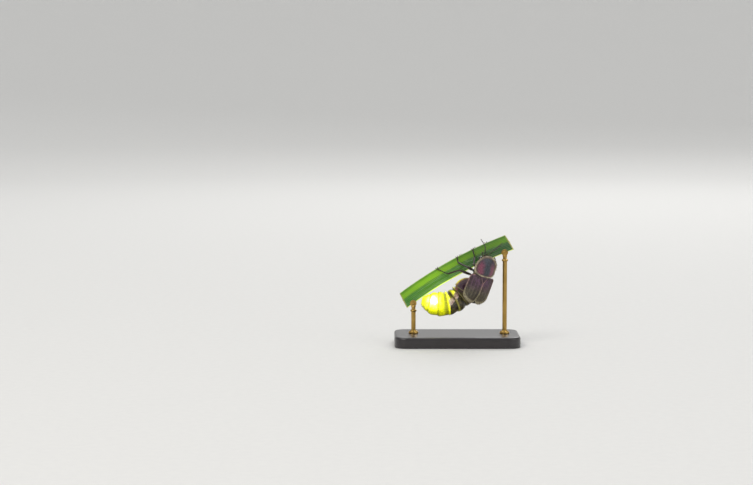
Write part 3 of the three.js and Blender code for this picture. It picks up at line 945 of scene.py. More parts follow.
@dataclass(frozen=True)
class GrassLeaf(Finish):
    """Fresh grass leaf, grown: waxy, ribbed along its veins, and light shines through it."""

    # Veins break the waxy highlight into lines; beside the lantern its light is painted on the leaf as a
    # yellow-green glow.
    name: str = "fresh grass leaf, waxy and veined"
    # Colour of the lantern's light painted on the leaf
    light: str = "#c8f02a"
    roughness: float = 0.4
    ior: float = 1.42
    coat: float = 0.15
    scatter: float = 0.3
    scatter_reach: tuple = (0.6, 1.0, 0.2)
    scatter_mm: float = 0.3
    bump: float = 0.5
    bump_depth: float = 0.03
    green: str = "#237c10"
    # Darker green towards the far end: painted shade away from the lantern, over the leaf's own deeper green
    far_shaded_green: str = "#15521c"
    # Bright tone: over the upper half it is painted lantern light; in the scattered streaks it is the leaf's
    # own
    bright: str = "#94d022"
    pale_edge: str = "#cfdf96"
    # Bright yellow lower edge: a painted highlight of the lantern's light over the edge's own paleness
    pale_lit_lower_edge: str = "#d9e860"
    cut: str = "#b9b06a"
    vein_mm: float = 0.3
    half_width_mm: float = 1.65
    streak_stretch: tuple = (0.12, 7.0, 1.0)
    streak_scale: float = 1.6

    def pattern(self, tree: NodeTree) -> dict:
        """Adds the bright middle band and bright lower edge, painted lantern light over the leaf's own
        streaks and pale edge, painted shade towards the far end, veins, pale edges, cut ends and painted glow
        beside the lantern.

        Args:
            tree: The material's node tree.

        Returns:
            Outputs by the shader's sockets.
        """
        across, station, lit = (
            add_node(tree, "Attribute", take="Fac", attribute_name=label)
            for label in ("across", "station", "lit")
        )
        spot = add_node(tree, "CombineXYZ", {"X": station, "Y": across})
        # Long streaks: noise drawn out along the blade, far coarser along than across.
        drawn = add_node(tree, "Mapping", {"Vector": spot, "Scale": self.streak_stretch})
        streaks = add_node(tree, "TexNoise", {
            "Vector": drawn, "Scale": self.streak_scale, "Detail": 5.0, "Roughness": 0.55,
        })
        lift = add_node(tree, "Math", {0: streaks, 1: 0.5, 2: across}, operation="MULTIPLY_ADD")
        turns = add_node(tree, "Math", {
            0: across, 1: 2 * math.pi * self.half_width_mm / self.vein_mm,
        }, operation="MULTIPLY")
        ribs = add_node(tree, "Math", {0: turns}, operation="COSINE")
        edge = add_node(tree, "Math", {0: across}, operation="ABSOLUTE")
        lower = add_node(tree, "Math", {0: across, 1: -1.0}, operation="MULTIPLY")
        colour = self.green
        # The bright band over the upper half is painted lantern light; the bright streaks are the leaf's own.
        for over, where, reach, most in (
            # painted shade towards the far end, then the bright band over the upper half, which is painted
            # lantern light
            (self.far_shaded_green, station, (10.0, 20.0), 1.0), (self.bright, lift, (0.22, 0.5), 0.9),
            (self.green, lift, (0.8, 1.15), 0.75), (self.bright, streaks, (0.5, 0.72), 0.35),
            (self.far_shaded_green, station, (11.0, 19.0), 0.5), (self.pale_edge, ribs, (0.5, 1.0), 0.22),
            # the bright lower edge is a painted highlight of the lantern's light
            (self.pale_edge, edge, (0.92, 0.99), 0.7), (self.pale_lit_lower_edge, lower, (0.88, 0.96), 0.9),
            (self.cut, "cut", (0.55, 1.0), 0.9),
        ):
            colour = self.lay(tree, colour, over, where, reach, (0.0, most))
        relief = add_node(tree, "Math", {0: ribs, 1: 0.35, 2: streaks}, operation="MULTIPLY_ADD")
        # The lantern's light on the leaf is painted on as emission.
        return {"Base Color": colour, "Emission Strength": lit, "Normal": relief}


@dataclass(frozen=True)
class LacqueredWood(TwoToneFinish):
    """Dense wood turned black with lacquer, rubbed to a satin: faint grain under a soft coat."""

    # The clear coat gives a second, sharper highlight over the soft one of the rubbed wood.
    name: str = "black lacquered wood, satin"
    roughness: float = 0.34
    coat: float = 0.3
    coat_roughness: float = 0.15
    bump: float = 0.25
    first: str = "#141215"
    second: str = "#363032"
    tone: tuple = (0.35, 6.0, 0.6, (0.08, 1.0, 1.0))
    relief: tuple = (0.35, 6.0, 0.6, (0.08, 1.0, 1.0))


@dataclass(frozen=True)
class TurnedBrass(TwoToneFinish):
    """Brass, turned on a lathe and lightly brushed: fine rings round the rod, and a faint tarnish."""

    # The rings draw the highlight out along the rod and keep it soft.
    name: str = "turned brass, satin"
    roughness: float = 0.28
    metallic: float = 1.0
    bump_depth: float = 0.01
    first: str = "#c8a45c"
    second: str = "#9a7a3e"
    tone: tuple = (1.6, 4.0, 0.5, (1.0, 1.0, 1.0))
    relief: tuple = (0.12, 2.0, 0.5, (0.1, 0.1, 1.0))


@dataclass(frozen=True)
class StudioPaper(TwoToneFinish):
    """Matte backdrop paper, milled: pale, with a barely visible tooth."""

    # Its rough face scatters the light evenly, so that the floor stays quiet.
    name: str = "pale backdrop paper, matte"
    roughness: float = 0.9
    bump: float = 0.05
    first: str = "#d9d8d5"
    second: str = "#d3d2d0"
    tone: tuple = (1.5, 3.0, 0.5, (1.0, 1.0, 1.0))
    relief: tuple = (1.5, 3.0, 0.5, (1.0, 1.0, 1.0))


# The grass blade


@dataclass
class GrassPerch:
    """The short cut length of grass blade that the insect grips."""

    start: tuple = (-10.7, 0.0, 8.8)
    length: float = 24.2
    half_width: float = 1.65
    fold: float = 0.5
    slope_start: float = 37.0
    slope_end: float = 21.0
    twist: float = 10.0
    half_plate: float = 0.12
    keel: float = 0.16
    rib_depth: float = 0.022
    ribs: int = 11
    cut_depth: float = 0.5
    # The lantern's place and the reach of its light, painted on the blade as glow
    lantern: tuple = (-2.6, -1.5, 10.2)
    light_reach: float = 3.4
    rows: int = 260
    columns: int = 89

    def place(self, station: Array, across: Array, lift: Array) -> Array:
        """Points on or near the blade.

        Args:
            station: Distance along it from its lower end.
            across: -1 at its lower edge to 1 at its upper edge.
            lift: Distance from its middle sheet towards the viewer.

        Returns:
            The points, in the world.
        """
        station, across, lift = np.broadcast_arrays(*(np.asarray(v, float) for v in (station, across, lift)))
        share = station / self.length
        chord = np.radians(self.slope_start + (self.slope_end - self.slope_start) * share / 2)
        slope = np.radians(self.slope_start + (self.slope_end - self.slope_start) * share)
        twist = np.radians(self.twist) * (share - 0.4)
        half = across * self.half_width
        fold = self.fold * (1 - np.sqrt(across * across + 0.02))
        rise = half * np.cos(twist) + lift * np.sin(twist)
        depth = fold + half * np.sin(twist) - lift * np.cos(twist)
        x = self.start[0] + station * np.cos(chord) - rise * np.sin(slope)
        z = self.start[2] + station * np.sin(chord) + rise * np.cos(slope)
        return np.stack([x, self.start[1] + depth, z], axis=-1)

    def build(self) -> None:
        """Makes the blade, ribbed along its veins, with a keel under its fold."""
        along = np.linspace(0, 1, self.rows)[:, None]
        across = np.sin(np.linspace(-0.5, 0.5, self.columns) * math.pi * 0.92)[None, :]
        across = across / np.abs(across).max()
        station = along * self.length + 0.3 * across * (1 - 2 * along)
        ribs = self.rib_depth * np.cos(2 * math.pi * across * self.ribs)
        wave = 0.05 * np.sin(station * 0.9 + across * 1.7) * across ** 2
        wave = wave + 0.03 * np.sin(station * 2.3 + 1.0) * across
        plate = self.half_plate * (1 - 0.5 * np.abs(across) ** 1.5)
        keel = self.keel * bell(across, 0.0, 0.07)
        near = self.place(station, across, plate + ribs + wave)
        far = self.place(station, across, -(plate + ribs * 0.6 + keel) + wave)
        cut = 1 - ease(np.minimum(along, 1 - along) * self.length, 0.0, self.cut_depth) + 0 * across
        # Painted lantern light: a glow on the blade that fades away from the lantern and is strongest along
        # its lower edge
        reach = np.linalg.norm(near - np.array(self.lantern), axis=-1)
        lit = np.exp(-0.5 * (reach / self.light_reach) ** 2) * (0.1 + 1.0 * ease(-across, 0.84, 1.0))
        shape = Shape()
        shape.plate(near, far, across=across + 0 * along, station=station, cut=cut, lit=lit)
        shape.build("grass_blade", GrassLeaf(), "grass", ("perch_blade",))


@dataclass
class DisplayStand:
    """The plain stand: a rounded base and two rods whose clips take the blade's lower edge."""

    perch: GrassPerch
    length: float = 25.0
    depth: float = 14.0
    height: float = 2.2
    corner: float = 2.4
    edge: float = 0.45
    chamfer: float = 0.15
    border: float = 0.6
    rod_radius: float = 0.45
    foot_radius: float = 1.0
    foot_height: float = 0.5
    jaw_radius: float = 0.66
    jaw_plate: float = 0.2
    jaw_play: float = 0.05
    below_grip: float = 0.4
    # The neck under the clip: heights from its top, and radii as shares of the rod's
    neck: tuple = (
        (-1.3, 1.0), (-1.22, 1.3), (-1.05, 1.42), (-0.88, 1.3), (-0.8, 0.95), (-0.55, 0.85), (-0.35, 1.0),
        (-0.15, 1.05), (0.0, 0.85), (0.08, 0.4),
    )
    stations: dict = field(default_factory=lambda: {Side.LEFT: 1.3, Side.RIGHT: 22.6})

    def outline(self, inset: float, height: float, points: int = 96) -> Array:
        """A rounded rectangle, inset from the base's outline.

        Args:
            inset: Distance inside the outline.
            height: Its level.
            points: Number of its points.

        Returns:
            The points in order.
        """
        corner = max(self.corner - inset, 0.2)
        centres = ((1, 1), (-1, 1), (-1, -1), (1, -1))
        ring = []
        for quarter, (sx, sy) in enumerate(centres):
            for part in np.linspace(0, 1, points // 4):
                angle = (quarter + part) * math.pi / 2
                x = sx * (self.length / 2 - inset - corner) + corner * math.cos(angle)
                y = sy * (self.depth / 2 - inset - corner) + corner * math.sin(angle)
                ring.append((x, y, height))
        return np.array(ring)

    def build_base(self) -> None:
        """Makes the base with a rounded top edge and a small lower chamfer."""
        rings = [self.outline(self.chamfer, 0.0), self.outline(0.0, self.chamfer)]
        for part in np.linspace(0, 1, 8):
            angle = part * math.pi / 2
            inset = self.edge * (1 - math.cos(angle))
            rings.append(self.outline(inset, self.height - self.edge + self.edge * math.sin(angle)))
        rings.append(self.outline(self.edge + self.border, self.height))
        shape = Shape()
        shape.tube(np.array(rings))
        shape.build("base", LacqueredWood(), "stand_base", ("stand_base",), sharp=40.0)

    def build_rod(self, side: Side) -> None:
        """Makes one rod, with its foot, neck and spring clip.

        Args:
            side: Which rod.
        """
        station, place = self.stations[side], self.perch.place
        grip = place(station, -1.0, 0.0)
        up = unit(place(station, 1.0, 0.0) - grip)
        run = unit(place(station + 0.5, -1.0, 0.0) - place(station - 0.5, -1.0, 0.0))
        out = unit(np.cross(run, up))
        top = grip[2] - self.below_grip
        foot, rod, height = self.foot_radius, self.rod_radius, self.foot_height
        knots = (
            (0.0, 0.92 * foot), (0.12, foot), (height - 0.14, 0.95 * foot), (height, 0.8 * foot),
            (height + 0.1, 0.62 * foot), (height + 0.3, rod),
        )
        levels = [(self.height + rise, radius) for rise, radius in knots]
        levels += [(top + rise, share * rod) for rise, share in self.neck]
        upright = np.array((0, 0, 1.0))
        shape = Shape()
        shape.tube(self.turned(np.array((grip[0], grip[1], 0.0)), (run, out, upright), levels))
        gap = self.perch.half_plate + self.jaw_play
        pin = [(-gap - 0.16, 0.2), (-gap - 0.1, 0.24), (gap + 0.1, 0.24), (gap + 0.16, 0.2)]
        shape.tube(self.turned(grip - np.array((0, 0, self.below_grip)), (run, up, out), pin))
        plate, radius = self.jaw_plate, self.jaw_radius
        jaw = [
            (gap, radius - 0.06), (gap + 0.03, radius), (gap + plate - 0.05, radius),
            (gap + plate, radius - 0.05), (gap + plate, 0.34), (gap + plate + 0.02, 0.3),
            (gap + plate + 0.12, 0.28), (gap + plate + 0.16, 0.2),
        ]
        for sign in (-1, 1):
            shape.tube(self.turned(grip + up * 0.08, (run, up * sign, out * sign), jaw))
        shape.build(f"rod_{side.word}", TurnedBrass(), "stand_rod", (f"stand_rod_{side.word}",), sharp=35.0)

    @staticmethod
    def turned(middle: Array, axes: tuple, levels: list, around: int = 48) -> Array:
        """Rings of a turned form.

        Args:
            middle: Where its axis begins.
            axes: Two directions across it and the direction of its axis.
            levels: Pairs of height along the axis and radius.
            around: Points in each ring.

        Returns:
            Rings by points by 3.
        """
        side = axes[0] - axes[0].dot(axes[2]) * axes[2]
        first = unit(side)
        second = np.cross(axes[2], first)
        turns = circle(around)[:, None]
        return np.array([
            middle + axes[2] * height + radius * (np.cos(turns) * first + np.sin(turns) * second)
            for height, radius in levels
        ])

    def build(self) -> None:
        """Makes the base and both rods."""
        self.build_base()
        for side in Side:
            self.build_rod(side)


# The insect


@dataclass(frozen=True)
class BodyFrame:
    """The insect's own frame: X to its right, Y forward to the head, Z out through its back."""

    place: tuple = (4.95, -3.3, 14.2)
    lean: float = 19.0
    pitch: float = -4.0
    roll: float = 62.0

    def axes(self) -> Array:
        """Turns the photo's upright insect by its lean, pitch and roll.

        Returns:
            The frame's three directions in the world, as rows.
        """
        lean, pitch, roll = (math.radians(a) for a in (self.lean, self.pitch, self.roll))
        sideways = np.array((math.cos(lean), 0, -math.sin(lean)))
        upright = np.array((math.sin(lean), 0, math.cos(lean)))
        away = np.array((0.0, 1.0, 0.0))
        forward = upright * math.cos(pitch) + away * math.sin(pitch)
        inward = away * math.cos(pitch) - upright * math.sin(pitch)
        back = sideways * math.cos(roll) - inward * math.sin(roll)
        return np.array((np.cross(forward, back), forward, back))

    def world(self, local: Array) -> Array:
        """Points of the insect's frame, in the world."""
        return np.asarray(local, float) @ self.axes() + np.array(self.place)

    def local(self, world: Array) -> Array:
        """Points of the world, in the insect's frame."""
        return (np.asarray(world, float) - np.array(self.place)) @ self.axes().T


@dataclass
class Shield:
    """The pronotum: a shield with an upturned clear rim, which hides the head from above."""

    pose: BodyFrame
    length: float = 4.1
    width: float = 4.85
    rear: float = 1.5
    crown: float = 1.15
    rim: float = 0.14
    plate: float = 0.4
    rim_plate: float = 0.12
    rings: int = 56
    around: int = 132
    hairs: int = 900
    fringe: int = 260
    fringe_length: float = 0.2

    def outline(self, angle: Array) -> Array:
        """Reach of the shield's outline from its centre.

        Args:
            angle: Directions about the centre.

        Returns:
            The reach in each direction.
        """
        front = np.sin(angle) > 0
        reach = np.where(front, self.length - self.rear, self.rear)
        power = np.where(front, 2.15, 3.2)
        total = np.abs(np.cos(angle) / (self.width / 2)) ** power + np.abs(np.sin(angle) / reach) ** power
        return total ** (-1 / power)

    def height(self, share: Array, x: Array, y: Array) -> Array:
        """Level of its outer face, with a middle groove, two swellings and a dished flange.

        Args:
            share: Share of the way from its centre to its outline.
            x: Place across.
            y: Place along.

        Returns:
            The level.
        """
        lateral = 1 - np.minimum(1, np.abs(x) / (self.width / 2)) ** 2.2
        lengthwise = 1 - 0.95 * np.maximum(0, y / self.length) ** 2
        groove = 0.045 * bell(x, 0, 0.07) * bell(y, 1.0, 0.7)
        swell = 0.06 * bell(np.abs(x), 0.75, 0.3) * bell(y, 0.9, 0.5)
        flange = 0.09 * bell(share, 0.8, 0.06)
        edge = self.rim * ease(share, 0.84, 1.0)
        return self.crown * lateral * lengthwise + edge + swell - groove - flange

    def surface(self) -> tuple:
        """The outer face.

        Returns:
            Its grid of points in the insect's frame, and each point's share of the way to the outline.
        """
        share = np.sin(np.linspace(0.004, 1, self.rings) * math.pi / 2)[:, None]
        angle = circle(self.around)[None, :]
        reach = share * self.outline(angle)
        x, y = reach * np.cos(angle), self.rear + reach * np.sin(angle)
        return np.stack([x, y, self.height(share, x, y)], axis=-1), share + 0 * angle

    def build(self) -> None:
        """Makes the shield and its down."""
        top, share = self.surface()
        thickness = self.rim_plate + (self.plate - self.rim_plate) * (1 - ease(share, 0.55, 0.95))
        bottom = top - thickness[..., None] * np.array((0, 0, 1.0))
        rim = 0.5 * (top[-1] + bottom[-1])
        rim[:, :2] += unit(rim[:, :2] - np.array((0, self.rear))) * self.rim_plate * 0.4
        rings = np.concatenate([top, rim[None], bottom[::-1]])
        shares = np.concatenate([share, share[-1:], share[::-1]])
        across, along = np.abs(rings[..., 0]), rings[..., 1] / self.length
        shape = Shape()
        shape.tube(self.pose.world(rings), share=shares, across=across, along=along)
        shape.build("shield", ShieldCuticle(), "shield", ("pronotum",), sharp=70.0)
        self.build_down(top)

    def build_down(self, top: Array) -> None:
        """Makes short hairs that lie back over the shield, and a finer fringe on its rim.

        Args:
            top: The outer face's points.
        """
        random = np.random.default_rng(41)
        normals = grid_normals(top)
        normals *= np.sign(normals[..., 2:])
        axes = self.pose.axes()
        shape = Shape()
        for fringe, count, low, high, length in (
            (False, self.hairs, 0.0, 0.96, HAIR_LENGTH),
            (True, self.fringe, 0.985, 0.999, self.fringe_length),
        ):
            if fringe:
                rows = random.uniform(low, high, count)
            else:
                rows = np.sqrt(random.uniform(low ** 2, high ** 2, count)) ** 0.8
            columns = random.uniform(0, 1, count)
            roots, rise = read_grid(top, rows, columns), read_grid(normals, rows, columns)
            outward = roots - np.array((0, self.rear, 0))
            lie = np.array((0, -1.0, 0)) + outward * (1.2 if fringe else 0.12)
            lie += random.normal(0, 0.12, roots.shape)
            lengths = length * random.uniform(*HAIR_VARIES, count)
            shape.hairs(self.pose.world(roots), lie @ axes, rise @ axes, lengths, HAIR_WIDTH, (columns, rows))
        shape.build("shield_down", FineDown(), "shield")


@dataclass
class WingCases:
    """The elytra, parted by the full abdomen, and the scutellum between their roots."""

    pose: BodyFrame
    length: float = 5.6
    width: float = 2.75
    crown: float = 1.3
    lip: float = 0.12
    plate: float = 0.17
    seam: float = 0.3
    overlap: float = 0.22
    splay: dict = field(default_factory=lambda: {Side.LEFT: 2.5, Side.RIGHT: -1.5})
    scutellum_width: float = 1.1
    scutellum_length: float = 1.0
    rib_height: float = 0.08
    ribs: tuple = (0.26, 0.5, 0.73)
    margin: float = 0.17
    tip_margin: float = 0.55
    seam_margin: float = 0.06
    membrane: float = 0.03
    veins: tuple = (0.1, 0.24, 0.4, 0.58, 0.76, 0.93)
    folded: dict = field(default_factory=lambda: {Side.LEFT: 0.14, Side.RIGHT: 0.22})
    rows: int = 150
    columns: int = 61
    hairs: int = 1700

    def outer(self, along: Array) -> Array:
        """Outer edge of a case.

        Args:
            along: Places from its shoulder (0) to its tip (1).

        Returns:
            Distances from the insect's middle line.
        """
        shoulder = 0.8 + 0.2 * np.sqrt(1 - np.maximum(0, 1 - along / 0.1) ** 2.2)
        tip = np.sqrt(np.maximum(0, 1 - (np.maximum(0, along - 0.68) / 0.335) ** 2.4))
        return self.width * shoulder * tip * (1 + 0.03 * np.sin(math.pi * along))

    def inner(self, along: Array) -> Array:
        """Inner edge of a case: it clears the scutellum, runs straight, and rounds off.

        Args:
            along: Places from its shoulder (0) to its tip (1).

        Returns:
            Distances from the insect's middle line.
        """
        past = ease(along * self.length, 0, self.scutellum_length + 0.4)
        notch = (self.scutellum_width / 2 + 0.06) * (1 - past)
        tip = 0.55 * np.maximum(0, (along - 0.86) / 0.14) ** 2
        return 0.05 + notch + tip

    def height(self, across: Array, along: Array) -> Array:
        """Level of a case's outer face, without its ribs.

        Args:
            across: Distances from the insect's middle line.
            along: Places from its shoulder (0) to its tip (1).

        Returns:
            The levels.
        """
        lengthwise = (0.86 + 0.14 * ease(along, 0, 0.25)) * (1 - 0.45 * ease(along, 0.55, 1))
        dome = self.crown * lengthwise * (1 - np.minimum(1, across / self.width) ** 2.4)
        return dome + self.lip * ease(across / self.width, 0.86, 1)

    def turn(self, points: Array, side: Side) -> Array:
        """Points of a case, swung out about its shoulder hinge.

        Args:
            points: Points before the swing, in the insect's frame.
            side: Which case.

        Returns:
            The points after it.
        """
        angle = side.value * math.radians(self.splay[side])
        hinge = np.array((side.value * 1.2, -self.seam, 0))
        turned = points - hinge
        x = turned[..., 0] * math.cos(angle) - turned[..., 1] * math.sin(angle)
        y = turned[..., 0] * math.sin(angle) + turned[..., 1] * math.cos(angle)
        return np.stack([x, y, turned[..., 2]], axis=-1) + hinge

    def build_case(self, side: Side) -> None:
        """Makes one wing case, with its ribs, beaded edges and down.

        Args:
            side: Which case.
        """
        along = np.linspace(0, 1, self.rows)[:, None]
        even = np.linspace(0, 1, self.columns)[None, :]
        part = 0.5 * np.sin(even * math.pi / 2) + 0.5 * even
        inner, outer = self.inner(along), np.maximum(self.outer(along), self.inner(along) + 0.22)
        across = inner + (outer - inner) * part
        fade = ease(along, 0.02, 0.12) * (1 - ease(along, 0.72, 0.93))
        ribs = sum(bell(part, rib, 0.035) for rib in self.ribs) * fade
        level = self.height(across, along) + self.rib_height * ribs
        # Beads along both edges, each with a groove beside it, and the swollen shoulder
        level = level + 0.05 * bell(part, 0.0, 0.03) + 0.07 * bell(part, 1.0, 0.03)
        level = level - 0.04 * bell(part, 0.1, 0.04) - 0.06 * bell(part, 0.92, 0.035)
        level = level + 0.06 * bell(part, 0.78, 0.12) * bell(along, 0.05, 0.05)
        y = -self.seam + self.overlap - along * (self.length + 0.1) + 0 * part
        top = np.stack([side.value * across, y, level], axis=-1)
        drop = self.plate * (1 - 0.3 * ease(part, 0.85, 1)) + 0 * along
        bottom = top - drop[..., None] * np.array((0, 0, 1.0))
        edge = np.vstack([top[:, -1, :2], top[-1, :, :2]])
        flat = top[..., :2].reshape(-1, 1, 2)
        rim = np.linalg.norm(flat - edge[None], axis=-1).min(axis=1).reshape(across.shape)
        rim = rim / (self.margin + (self.tip_margin - self.margin) * ease(along, 0.55, 0.95))
        suture = (across - inner) / (self.seam_margin + 0.12 * ease(along, 0.7, 1.0))
        top, bottom = self.turn(top, side), self.turn(bottom, side)
        shape = Shape()
        shape.plate(self.pose.world(top), self.pose.world(bottom), rim=rim, suture=suture, rib=ribs,
                    along=along + 0 * across)
        replaced = (f"elytron_{side.word}",)
        shape.build(f"wing_case_{side.word}", WingCaseCuticle(), "wing_case", replaced, sharp=60.0)
        self.build_down(side, top)

    def build_down(self, side: Side, top: Array) -> None:
        """Makes the short hairs that lie back along a case.

        Args:
            side: Which case.
            top: The outer face's points.
        """
        random = np.random.default_rng(7 + side.value)
        normals = grid_normals(top)
        normals *= np.sign(normals[..., 2:] + 1e-9)
        rows, columns = random.uniform(0.01, 0.99, self.hairs), random.uniform(0.01, 0.99, self.hairs)
        roots, rise = read_grid(top, rows, columns), read_grid(normals, rows, columns)
        lie = np.array((0, -1.0, 0)) + random.normal(0, 0.14, roots.shape)
        lie[:, 0] += side.value * 0.25 * (columns - 0.4)
        axes = self.pose.axes()
        shape = Shape()
        lengths = HAIR_LENGTH * random.uniform(*HAIR_VARIES, self.hairs)
        shape.hairs(self.pose.world(roots), lie @ axes, rise @ axes, lengths, HAIR_WIDTH, (columns, rows))
        shape.build(f"wing_down_{side.word}", FineDown(name="wing down, golden brown hairs"), "wing_case")

    def build_scutellum(self) -> None:
        """Makes the small shield-shaped plate between the roots of the cases."""
        along = np.linspace(0, 1, 26)[:, None]
        part = np.linspace(-1, 1, 25)[None, :]
        half = self.scutellum_width / 2 * np.sqrt(np.maximum(1 - along ** 1.6, 0.004))
        x = part * half
        y = -self.seam + 0.2 - along * (self.scutellum_length + 0.1) + 0 * part
        level = self.crown * 0.88 + 0.05 - 0.1 * part ** 2 - 0.12 * along ** 2
        top = np.stack([x, y, level + 0 * x], axis=-1)
        bottom = top - np.array((0, 0, 0.2))
        # It has no pale border: every place counts as far from an edge.
        far = 4.0 + 0 * x
        shape = Shape()
        shape.plate(self.pose.world(top), self.pose.world(bottom), rim=far, suture=far, along=0 * x)
        shape.build("scutellum_plate", WingCaseCuticle(), "wing_case", ("scutellum",))

    def build_wings(self) -> None:
        """Makes the flight wings, folded over each other beneath the cases."""
        along = np.linspace(0, 1, 90)[:, None]
        part = np.linspace(0, 1, 56)[None, :]
        shape = Shape()
        for side in Side:
            taper = np.sqrt(np.maximum(1 - along ** 7, 0.002))
            across = 0.1 + (-0.55 + (0.55 + self.width * 0.74) * part) * taper
            y = -self.seam - 0.35 - along * (self.length - 0.4) + 0 * part
            level = self.height(np.abs(across), along) - self.plate - self.folded[side]
            level = level + 0.03 * np.sin(across * 11 + along * 3) - 0.1 * ease(along, 0.85, 1.0)
            top = self.pose.world(np.stack([side.value * across, y, level], axis=-1))
            vein = sum(bell(part, place + 0.06 * along, 0.012) for place in self.veins)
            shape.plate(top, top - self.membrane * self.pose.axes()[2], vein=vein + 0 * across)
        shape.build("flight_wings", WingMembrane(), "wing_case")

    def build(self) -> None:
        """Makes both wing cases, the scutellum and the folded wings."""
        self.build_wings()
        for side in Side:
            self.build_case(side)
        self.build_scutellum()


@dataclass(frozen=True)
class SkinRing:
    """One section of the body's skin, from neck to tail."""

    centre: Array
    across: Array
    back: Array
    half_width: float
    half_height: float
    # Number of the abdomen's segment, or -1 on the thorax; shares of the way along it and along the abdomen
    segment: int = -1
    part: float = 0.5
    share: float = 0.0


@dataclass
class Body:
    """One skin for thorax and abdomen, with its plates and the lantern, and the head before it."""

    pose: BodyFrame
    thorax_front: float = 1.5
    thorax_length: float = 2.95
    thorax_width: float = 3.6
    thorax_height: float = 1.85
    thorax_level: float = -0.68
    seam: float = 0.3
    wide: tuple = (
        (0, 1.15), (0.136, 2.15), (0.317, 2.6), (0.544, 2.45), (0.707, 2.4), (0.82, 2.2), (0.9, 1.75),
        (0.96, 1.1), (1, 0.5),
    )
    tall: tuple = (
        (0, 0.9), (0.136, 1.65), (0.317, 2.3), (0.454, 2.35), (0.544, 2.3), (0.635, 2.35), (0.717, 2.4),
        (0.82, 2.2), (0.9, 1.7), (0.96, 1.1), (1, 0.5),
    )
    segment_ends: tuple = (0, 0.127, 0.254, 0.381, 0.499, 0.608, 0.74, 0.875, 1)
    route: tuple = (
        (2.15, -1.3, 11.65), (0.85, -1.15, 9.95), (-1.2, -1.7, 8.65), (-3.8, -1.9, 8.35),
        (-7.25, -1.95, 8.95),
    )
    tip_back: tuple = (0.2, 0.45, -0.87)
    twist: tuple = (0.045, 0.726)
    # Relief of the segments, as shares of the girth or in millimetres
    plate_step: float = 0.11
    belly_step: float = 0.05
    hind_tuck: float = 0.045
    lobe_reach: float = 0.27
    knob_rise: float = 0.11
    fold_depth: float = 0.1
    crease_depth: float = 0.05
    keel_height: float = 0.035
    furrow_depth: float = 0.05
    smooth_from: float = 0.6
    # The light organ: where it begins, its heat at the rim and added at its middle, and the middle's place
    lantern_from: tuple = (0.576, 0.594)
    lantern_heat: float = 0.47
    glow_heat: float = 0.45
    glow_centre: tuple = (-4.85, -3.9, 9.3)
    glow_reach: float = 1.2
    head_place: tuple = (0, 2.85, -1.03)
    head_size: tuple = (2.2, 1.7, 1.3)
    eye_radius: float = 0.56
    eye_spread: float = 0.9
    around: int = 160
    thorax_steps: int = 30
    steps: int = 20
    bristles: int = 1500
    bristle_length: float = 0.2

    def girth(self, along: Array) -> Array:
        """Girth of the thorax from its front (0) to its rear (1), as a share of its widest."""
        return profile(((0, 0.7), (0.25, 0.84), (0.5, 0.98), (0.7, 0.98), (1, 0.78)), along)

    def underside(self, x: float, y: float) -> float:
        """Level of the thorax's underside.

        Args:
            x: Place across.
            y: Place along.

        Returns:
            The level.
        """
        girth = float(self.girth((self.thorax_front - y) / self.thorax_length))
        wide, tall = self.thorax_width / 2 * girth, self.thorax_height / 2 * girth
        return self.thorax_level - tall * math.sqrt(max(0.0, 1 - (x / wide) ** 2))

    def path(self) -> SmoothPath:
        """Middle line of the abdomen.

        Returns:
            Its curve in the insect's frame.
        """
        root = np.array((0, self.thorax_front - self.thorax_length - self.seam * 2.8, self.thorax_level))
        lead = root + np.array((-0.15, -0.7, -0.4))
        return SmoothPath([root, lead, *self.pose.local(np.array(self.route))])

    def rings(self) -> list:
        """Sections of the skin.

        Returns:
            Its rings from neck to tail.
        """
        straight = np.array((1.0, 0, 0)), np.array((0, 0, 1.0))
        found = [SkinRing(np.array((0, 2.3, -0.95)), *straight, 0.55, 0.42)]
        for along in np.linspace(0, 1, self.thorax_steps):
            girth = float(self.girth(along)) * (0.86 + 0.14 * float(ease(along, 0, 0.12)))
            centre = np.array((0, self.thorax_front - along * self.thorax_length, self.thorax_level))
            wide, tall = self.thorax_width / 2 * girth, self.thorax_height / 2 * girth
            found.append(SkinRing(centre, *straight, wide, tall, part=(along * 3) % 1.0))
        path = self.path()
        tip_back = np.array(self.tip_back) @ self.pose.axes().T
        for segment, (start, end) in enumerate(zip(self.segment_ends, self.segment_ends[1:])):
            last = segment == len(self.segment_ends) - 2
            for step in range(self.steps + 1):
                part = step / self.steps
                if last and part > 0.93:
                    continue
                share = start + (end - start) * part
                centre, along = path.at(share)[0], path.along(share)[0]
                turn = float(ease(share, *self.twist))
                back = unit((1 - turn) * straight[1] + turn * tip_back)
                back = unit(back - back.dot(along) * along)
                wide, tall = float(profile(self.wide, share)), float(profile(self.tall, share))
                found.append(SkinRing(centre, np.cross(back, along), back, wide, tall, segment, part, share))
        return found

    @staticmethod
    def fold_place(share: float) -> float:
        """Where the soft fold runs along the flank, as a sine: it sinks towards the belly."""
        return -0.17 - 0.3 * float(ease(share, 0.272, 0.5))

    @staticmethod
    def knob_place(share: float) -> float:
        """Where the rounded side pieces beside the belly sit, as a sine."""
        return -0.25 - 0.45 * float(ease(share, 0.136, 0.454))

    def section(self, ring: SkinRing, cosine: Array, sine: Array) -> tuple:
        """Relief of one ring of the skin: overlapping plates, side lobes, folds and a keel.

        Args:
            ring: The ring.
            cosine: Direction of each point across.
            sine: Direction of each point towards the back.

        Returns:
            Factor on the girth, and millimetres added across and towards the back.
        """
        part, share = ring.part, ring.share
        jut = 1.0 if ring.segment >= 0 else 0.0
        smooth = share > self.smooth_from
        # Each plate is widest where it begins, over the end of the one before it.
        under = ease(-sine, 0.15, 0.6)
        rise = (self.plate_step + self.belly_step * under) * (0.45 if smooth else 1.0)
        bulge = 1 - rise * (1 - ease(part, 0.0, 0.62)) - self.hind_tuck * ease(part, 0.86, 1.0)
        girth = 1 - (1 - bulge) * (1.0 if jut else 0.25)
